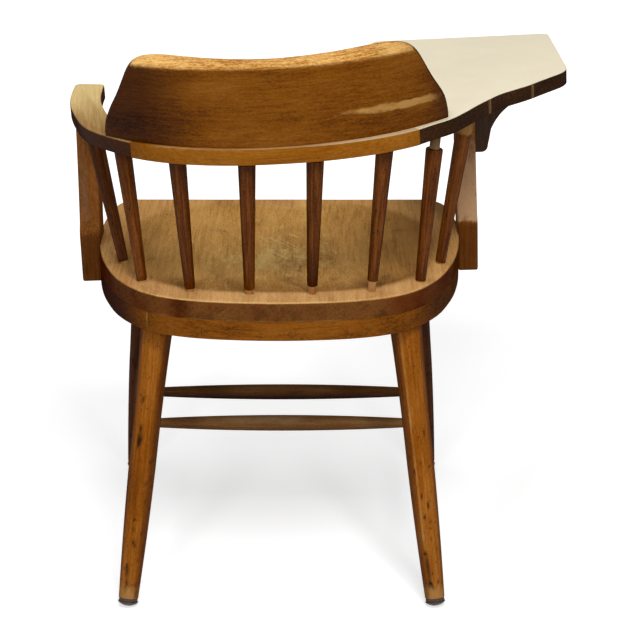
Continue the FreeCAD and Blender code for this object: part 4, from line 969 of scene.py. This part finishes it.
def makeRail():
    # a pale strip along the top edge, away from the arm: rubbed, and a painted sheen on the top face
    shell, _ = slab(railOutline(), -chair["bowThick"], 0, bow["railRound"])
    x, _, z = shell[0].T
    strip = (z > bow["strip"]) * (1 - bow["stripRight"][0] + fade(bow["stripRight"], -x))
    strip = strip * (1 - fade(bow["stripEnd"], x))
    tone, change = bow["stripTones"]
    makePiece("back_rail", "rail_wood", shell, inBow, alongGrain(shell[0], (1, 0), (40, 30, 900)),
              bow["railWearAndSheen"], strip * (tone + change * x), strip)


def makeTablet():
    outline = tabletOutline()
    top = -bow["laminate"]
    first, second = bow["firstJoint"], bow["secondJoint"]
    boards = {
        "arm": sawnOff(outline, 0, first, 1),
        "middle": sawnOff(sawnOff(outline, 0, first, -1), 0, second, 1),
        "outer": sawnOff(outline, 0, second, -1),
    }
    for index, (label, part) in enumerate(boards.items()):
        shell, _ = slab(part, -chair["bowThick"], top, bow["boardRound"])
        x = shell[0][:, 0]
        atJoint = np.minimum(abs(x - first), abs(x - second)) < bow["jointHalf"]
        makePiece("tablet_board_" + label, "tablet_wood", shell, inBow,
                  alongGrain(shell[0], (0, -1), (70 * index, 40, 500 * index)),
                  bow["boardWearAndSheen"], bow["boardTone"], bow["jointTrim"] * atJoint)
    shell, _ = slab(outline, top, 0, bow["laminateRound"], bow["laminateRing"])
    makePiece("tablet_laminate", "laminate", shell, inBow, shell[0], edge=shell[0][:, 2] < top / 2)


makeArm()
makeRail()
makeTablet()
print("bow and tablet")


# crest: a bent panel with a bevel along its top

crest = {
    "shares": ((1, 0), (1, 0.08), (0.987, 0.205), (0.935, 0.41), (0.873, 0.66), (0.832, 0.82), (0.797, 0.905),
               (0.745, 0.966), (0.67, 0.997), (0.55, 1), (0.27, 0.98), (0, 0.967)),
    "halfWidth": 233.5, "height": 120.0, "offset": 5.0, "radius": 318.0, "thickness": 22.0, "setback": 6.0,
    "lean": 5.0, "bevelStart": 108.5, "bevelBulge": 2.5, "soft": 2.2, "rounding": 2.4, "footRound": 0.6,
    "cornerShare": 0.94,    # of the height, where the grid's upper corners lie
    "across": 110, "up": 34, "turnSteps": 5, "gridGap": 3.0,
    "beyond": 1.6,          # one more ring on each face keeps the shading of the rounded edge off it
    "bevelFade": (1, 104.0, 110.0),
    "smearSpot": (0.46, 40, 8), "smearSlope": (0.03, -75),    # fall to the right, and x of the spot's height
    "smearFrom": (1, 40, 150), "smearTo": (1, 200, 226),
    "paintedShadeLeft": (0.8, 80, 190), "paintedShadeRight": (0.15, 60, 140), "paintedShadeEnd": (0.65, 190, 228),
    "lineSpot": (0.2, 35, 8), "wear": 0.05, "tone": 0.1, "bevelTone": 0.15, "bevelDusk": (0.5, 60, 210),
}
crestAxis = chair["bowBack"] - crest["setback"] - crest["radius"]


def crestFaces(x, z):
    # rear and front faces: circles about one axis whose radius grows with the lean; the bevel cuts the
    # rear one
    lean = crest["lean"] * z / crest["height"]
    rear = crest["radius"] + lean
    inside = crest["radius"] - crest["thickness"]
    share = (z - crest["bevelStart"]) / (crest["height"] - crest["bevelStart"])
    edge = crest["radius"] + crest["lean"] * crest["bevelStart"] / crest["height"]
    bulge = crest["bevelBulge"] * 4 * np.clip(share * (1 - share), 0, 1)
    gap = rear - lerp(edge, inside + crest["lean"], share) - bulge
    radii = rear - (gap + np.sqrt(gap * gap + crest["soft"] ** 2)) / 2, inside + lean
    return [crestAxis + np.sqrt(radius ** 2 - (x - crest["offset"]) ** 2) for radius in radii]


def crestLoop():
    # once round the outline: bottom, one side, top, other side, with fixed counts
    across, up = crest["across"], crest["up"]
    half = np.array(crest["shares"]) * (crest["halfWidth"], crest["height"])
    curve = splineThrough(np.vstack([half, (half * (-1, 1))[-2::-1]]), 1200)
    reach = reachAlong(curve)
    corner = reach[np.argmin(np.abs(curve[:600, 1] - crest["cornerShare"] * crest["height"]))]
    stops = 0, corner, reach[-1] - corner, reach[-1]
    bottom = np.column_stack([np.linspace(-crest["halfWidth"], crest["halfWidth"], across, endpoint=False),
                              np.zeros(across)])
    runs = [readAt(np.linspace(start, end, count, endpoint=False), reach, curve)
            for start, end, count in zip(stops, stops[1:], (up, across, up))]
    return np.vstack([bottom, *runs]) + (crest["offset"], 0)


def coonsPatch(loop, across, up):
    # blends the four runs of a loop: sum of both ruled surfaces less the bilinear one
    closed = np.vstack([loop, loop[:1]])
    bottom = closed[:across + 1]
    right = closed[across:across + up + 1]
    top = closed[across + up:2 * across + up + 1][::-1]
    left = closed[2 * across + up:][::-1]
    u = np.linspace(0, 1, across + 1)[None, :, None]
    v = np.linspace(0, 1, up + 1)[:, None, None]
    corners = lerp(lerp(bottom[0], bottom[-1], u), lerp(top[0], top[-1], u), v)
    return lerp(bottom[None], top[None], v) + lerp(left[:, None], right[:, None], u) - corners


def crestEdge(loop):
    # rings that carry the rounded edge round the outline, the rear face's half first
    turn = np.linspace(0, math.pi / 2, crest["turnSteps"])
    half = len(turn) + 1
    r = np.where(np.arange(len(loop)) < crest["across"], crest["footRound"], crest["rounding"])
    inward = np.r_[crest["beyond"], 1 - np.sin(turn), 1 - np.cos(turn), crest["beyond"]][:, None] * r
    fromRear = np.r_[0, 1 - np.cos(turn), np.zeros(half)][:, None] * r
    rings = loop[None] - outwardNormals(loop)[None] * inward[..., None]
    rear, front = crestFaces(rings[..., 0], rings[..., 1])
    middle = (rear - front) / 2
    y = np.where(np.arange(2 * half)[:, None] < half, rear - np.minimum(fromRear, middle),
                 front + np.minimum(fromRear[::-1], middle))
    return np.stack([rings[..., 0], y, rings[..., 1]], axis=-1)


def crestShell():
    # two gridded faces joined by the rings of the edge; their grids fill a loop drawn in about its middle
    across, up = crest["across"], crest["up"]
    loop = crestLoop()
    edge = crestEdge(loop)
    inset = 2 * crest["rounding"] + crest["gridGap"]
    shrink = np.array([1 - inset / crest["halfWidth"], 1 - 2 * inset / crest["height"]])
    patch = coonsPatch(loop * shrink + (crest["offset"] * (1 - shrink[0]), inset), across, up)
    rear, front = (np.stack([patch[..., 0], face, patch[..., 1]], axis=-1).reshape(-1, 3)
                   for face in crestFaces(patch[..., 0], patch[..., 1]))
    index = np.arange(len(rear)).reshape(up + 1, across + 1)
    border = np.r_[index[0, :-1], index[:-1, -1], index[-1, :0:-1], index[:0:-1, 0]]
    quads = np.stack([index[:-1, :-1], index[:-1, 1:], index[1:, 1:], index[1:, :-1]], axis=-1).reshape(-1, 4)
    step = np.arange(len(loop))
    beside = np.roll(step, -1)
    frontStart = len(rear) + edge[..., 0].size
    lastRing = frontStart - len(loop)
    rearBand = np.column_stack([border, border[beside], len(rear) + beside, len(rear) + step])
    frontBand = np.column_stack([lastRing + step, lastRing + beside, frontStart + rearBand[:, (1, 0)]])
    faces = np.vstack([quads[:, ::-1], rearBand, ringFaces(len(edge), len(loop), len(rear)), frontBand,
                       quads + frontStart])
    return np.vstack([rear, edge.reshape(-1, 3), front]), faces, []


def makeCrest():
    # the grain runs round the bend
    shell = crestShell()
    x, y, z = shell[0].T
    away = np.hypot(x - crest["offset"], y - crestAxis)
    around = crest["radius"] * np.arctan2(x - crest["offset"], y - crestAxis)
    bevel = fade(crest["bevelFade"], z) * (y > 0)
    slope, start = crest["smearSlope"]
    smear = hill(crest["smearSpot"], z + slope * (start - x)) * fade(crest["smearFrom"], -x)
    smear = smear * (1 - fade(crest["smearTo"], -x)) * (away > crest["radius"] - crest["thickness"] / 2)
    # painted shade: the panel darker towards both ends
    paintedShade = fade(crest["paintedShadeLeft"], x) + fade(crest["paintedShadeRight"], -x) + fade(crest["paintedShadeEnd"], -x)
    makePiece("crest_panel", "crest_wood", shell, inBow, np.column_stack([away, z, around]) + (40, 500, 300),
              smear + hill(crest["lineSpot"], z) + crest["wear"],
              lerp(crest["tone"] - paintedShade, crest["bevelTone"] - fade(crest["bevelDusk"], -x), bevel), bevel)


makeCrest()
print("crest")


# spindles between seat and bow

spindle = {
    # angle on the bow, foot across and foot back as shares of the seat, bare tenon at foot and top, tone
    "places": ((83.4, 0.848, 0.288, 2.3, 3.0, 0.2), (59.6, 0.728, 0.619, 1.2, 1.2, 0.15),
               (35.6, 0.469, 0.791, 4.0, 1.5, 0.1), (11.5, 0.1615, 0.834, 7.0, 1.5, 0.0),
               (-11.7, -0.1615, 0.834, 12.5, 1.5, 0.0), (-35.6, -0.469, 0.791, 15.5, 1.5, 0.1),
               (-57.0, -0.728, 0.619, 0.9, 21.0, 0.15), (-74.9, -0.848, 0.288, 1.3, 1.5, 0.2)),
    "top": 12.0, "foot": 7.3, "shoulder": 2.5, "footRound": 0.9,
    "topTenon": 7.2, "footTenon": 5.5, "hold": 12.0, "gap": 0.2, "hair": 0.05,
    "wear": 0.08, "fadedLast": (0.55, -24, -16),    # the last one's upper end is paler
    # painted shadow: each spindle darker at its top, under the bow
    "paintedShade": (0.35, 0.9, 1.0), "longTenon": 10.0, "longTrim": 0.5,
}


def makeSpindles():
    bowUp = inBow(np.array([0, 0, 1.0])) - inBow(np.zeros(3))
    last = len(spindle["places"]) - 1
    for index, (angle, across, back, bareFoot, bareTop, tone) in enumerate(spindle["places"]):
        foot = np.array([across * seat["halfWidth"], back * seat["halfDepth"], chair["seatTop"]])
        top = inBow(np.append(onBow(bowMiddle, angle), -chair["bowThick"]))
        reach = np.linalg.norm(top - foot)
        run = (top - foot) / reach
        # the tilted ends clear seat and bow by the gap
        tilt = math.acos(min(1, run @ bowUp))
        low = max(spindle["foot"] * math.tan(math.acos(run[2])) + spindle["gap"], bareFoot)
        high = reach - max(spindle["top"] * math.tan(tilt) + spindle["gap"], bareTop)
        t = np.linspace(0, 1, 50)
        body = np.column_stack([lerp(spindle["foot"], spindle["top"], t),
                                lerp(low + spindle["footRound"], high - spindle["shoulder"], t)])
        thin, thick = spindle["footTenon"], spindle["topTenon"]
        shell = lathe([(thin, -spindle["hold"]), (thin, low - spindle["hair"]),
                       *fillet(spindle["foot"], low, spindle["footRound"], -90, 0), *body[1:],
                       *fillet(spindle["top"], high, spindle["shoulder"], 0, 90, 6)[1:],
                       (thick, high + spindle["hair"]), (thick, reach + spindle["hold"])], 40)
        x, y, height = shell[0].T
        share = np.clip((height - low) / (high - low), 0, 1)
        onTop = (np.hypot(x, y) < thick + 0.01) * (height > high)
        bare = (height < low - 0.02) + onTop * (spindle["longTrim"] if bareTop > spindle["longTenon"] else 1)
        faded = fade(spindle["fadedLast"], height - high) * (index == last)
        makePiece(f"spindle_{index + 1}", "spindle_wood", shell, lambda p: alongAxis(p, foot, top),
                  shell[0] + (40, 20 + 37 * index, 600 * index), spindle["wear"] + faded,
                  tone - fade(spindle["paintedShade"], share), bare)


makeSpindles()
print("spindles")


# posts under arm and tablet, and the tablet's bracket

post = {
    "left": (1, 265.0, 12.0), "right": (-1, 261.5, 60.0),      # side, inner face, rear face before the middle
    "thickness": 29.5, "width": 62.0, "lean": 1.8, "shoulder": 75.0, "sweep": 62.0, "round": 7.0,
    "hollow": 6.0, "edge": 3.0, "into": 3.0, "spare": 40.0,    # spare is sawn off at the bow
    "upper": (1, 66, 80), "wear": 0.06, "leftWearAndSheen": 0.14, "rightWearAndSheen": 0.62, "rightFade": (0.3, 120, 240),
    "leftTones": (-0.35, 0.25), "rightTones": (-0.25, 0.3),    # below and above the shoulder; above it the swept face is painted lighter, as if lit
}
bracket = {
    "back": -110.0, "thick": 25.0, "face": -281.3, "reach": 92.0, "drop": 104.0, "gap": 0.2,
    "tip": 22.0, "heel": 17.0, "curve": 12.5, "edge": 2.0, "corner": 9.0, "wear": 0.05, "tone": 0.1,
}


def postOutline():
    # side view, rear edge at 0: straight foot, rounded shoulder, swept upper part
    width, shoulder, r, sweep = post["width"], post["shoulder"], post["round"], post["sweep"]
    height = chair["bowTop"] - chair["seatUnder"] + post["spare"]
    whole = np.vstack([
        [(0, 0)], bowed((0, shoulder - r), (-1.5 * r, shoulder + 1.5 * r), -r / 3),
        bowed((-1.5 * r, shoulder + 1.5 * r), (-sweep, height), post["hollow"], 40)[1:],
        bowed((-sweep - width, height), (-width - r / 2, shoulder + r), -post["hollow"], 40),
        bowed((-width - r / 2, shoulder + r), (-width, 2 * chair["layer"]), r / 10)[1:], [(-width, 0)]])
    return sawnOff(whole, 1, chair["bowTop"] - chair["bowThick"] - chair["seatUnder"] + post["into"], -1)


def makePosts():
    lean = math.radians(post["lean"])
    for index, label in enumerate(("left", "right")):
        side, inside, back = post[label]
        corner = inside if side > 0 else -inside - post["thickness"]

        def place(p):
            y, z, x = p.T
            return np.column_stack([corner + x * math.cos(lean) + z * math.sin(lean), y - back,
                                    chair["seatUnder"] - x * math.sin(lean) + z * math.cos(lean)])

        shell, _ = slab(postOutline(), 0, post["thickness"], post["edge"])
        height = shell[0][:, 1]
        above = fade(post["upper"], height)
        # painted reflection: the swept face above the shoulder paler, most on the right post, fading towards
        # its top; a little rubbed too
        wornAndLit = post[label + "WearAndSheen"] - (side < 0) * fade(post["rightFade"], height)
        makePiece("post_" + label, "post_wood", shell, place,
                  shell[0][:, (0, 2, 1)] + (30 + 80 * index, 70, 400 * index),
                  wornAndLit * above + post["wear"], lerp(*post[label + "Tones"], above))


def makeBracket():
    # side view in the bow's frame: flat under the tablet, hollow curve down to the heel
    face, top, h = bracket["face"], -chair["bowThick"] - bracket["gap"], bracket["heel"]
    foot, tip, heel = top - bracket["drop"], face - bracket["reach"], face - h
    lean = math.tan(math.radians(chair["bowTilt"] - post["lean"])) * bracket["drop"]
    low = top - bracket["tip"]
    outline = np.vstack([
        [(face, top), (tip, top), (tip, low)],
        bowed((tip, low), (heel - h / 3, foot + bracket["drop"] / 3), bracket["curve"], 40)[1:],
        cornerArc((heel, foot + h), (heel, foot), (face, foot), bracket["corner"]), [(face + lean, foot)]])
    shell, edge = slab(outline, -bracket["thick"], 0, bracket["edge"])
    makePiece("tablet_bracket", "bracket_wood", shell,
              lambda p: inBow(p[:, (0, 2, 1)] + (0, bracket["back"], 0)),
              shell[0][:, (0, 2, 1)] + (500, 30, 100), bracket["wear"], bracket["tone"] * (1 - edge))


makePosts()
makeBracket()
print("posts and bracket")

for kind in ("bow_dowels", "crest_dowels", "post_dowels", "post_screws", "bracket_screws"):
    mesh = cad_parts[kind].data
    mesh.materials.clear()
    mesh.materials.append(finishes["screw" if kind.endswith("screws") else "dowel_wood"])


# studio

studio = {
    "lens": 119.39, "eye": (9.234, 2949.2, 1448.4786), "turn": (69.1207, -0.0811, 179.8082), "farthest": 50,
    # lamps: name, power, size, place, aim in metres
    "lamps": (("keyLight", 40.0, 0.9, (-0.3, 1.7, 2.7), (0.0, 0.0, 0.4)),
              ("topLight", 20.0, 1.6, (0.4, 0.0, 2.8), (0.0, 0.0, 0.4)),
              ("leftLight", 10.0, 0.3, (0.9, 2.3, 1.2), (0.0, 0.0, 0.35)),
              ("rightLight", 10.0, 0.3, (-0.9, 2.3, 1.2), (0.0, 0.0, 0.35))),
    "sky": 0.2, "glow": 0.6, "farGlow": 0.4, "farFrom": (0.6, 2.2), "floor": 0.7, "floorHalf": 14.0,
}


def link(name, data):
    thing = bpy.data.objects.new(name, data)
    bpy.context.scene.collection.objects.link(thing)
    return thing


def makeEye():
    camera = link("camera", bpy.data.cameras.new("camera"))
    camera.data.lens = studio["lens"]
    camera.data.clip_end = studio["farthest"]
    camera.location = [value * millimetre for value in studio["eye"]]
    camera.rotation_euler = [math.radians(value) for value in studio["turn"]]
    bpy.context.scene.camera = camera
    bpy.context.scene.view_settings.view_transform = "Standard"


def makeLamps():
    for name, power, size, spot, aim in studio["lamps"]:
        lamp = link(name, bpy.data.lights.new(name, "AREA"))
        lamp.data.energy = power
        lamp.data.size = size
        lamp.location = spot
        lamp.rotation_euler = (Vector(aim) - Vector(spot)).to_track_quat("-Z", "Y").to_euler()


def makeFloor():
    # grey for the lamps, white for the eye, a little less so under the chair
    side, level = studio["floorHalf"], studio["floor"]
    mesh = bpy.data.meshes.new("floor")
    corners = [(-side, -side, 0), (side, -side, 0), (side, side, 0), (-side, side, 0)]
    mesh.from_pydata(corners, [], [(0, 1, 2, 3)])
    floor = link("floor", mesh)
    material, wire, surface = newFinish("floor")
    glow = studio["glow"] + wire.place().length().distinct(*studio["farFrom"]) * studio["farGlow"]
    fill(surface, {"Base Color": (level, level, level, 1), "Roughness": 0.9, "Specular IOR Level": 0.1,
                   "Emission Color": (1, 1, 1, 1), "Emission Strength": cameraSees(wire) * glow})
    mesh.materials.append(material)


def makeSky():
    world = bpy.data.worlds.new("world")
    world.use_nodes = True
    bpy.context.scene.world = world
    strength = studio["sky"] + cameraSees(Wire(world.node_tree)) * (1 - studio["sky"])
    fill(world.node_tree.nodes["Background"], {"Color": (1, 1, 1, 1), "Strength": strength})


def cameraSees(wire):
    # 1 for what the eye sees straight, mirrored or through glass
    direct, mirror, glass = (wire.add("ShaderNodeLightPath", None, None, f"Is {kind} Ray")
                             for kind in ("Camera", "Glossy", "Transmission"))
    return direct.largest(mirror).largest(glass)


makeEye()
makeLamps()
makeFloor()
makeSky()
print("studio")
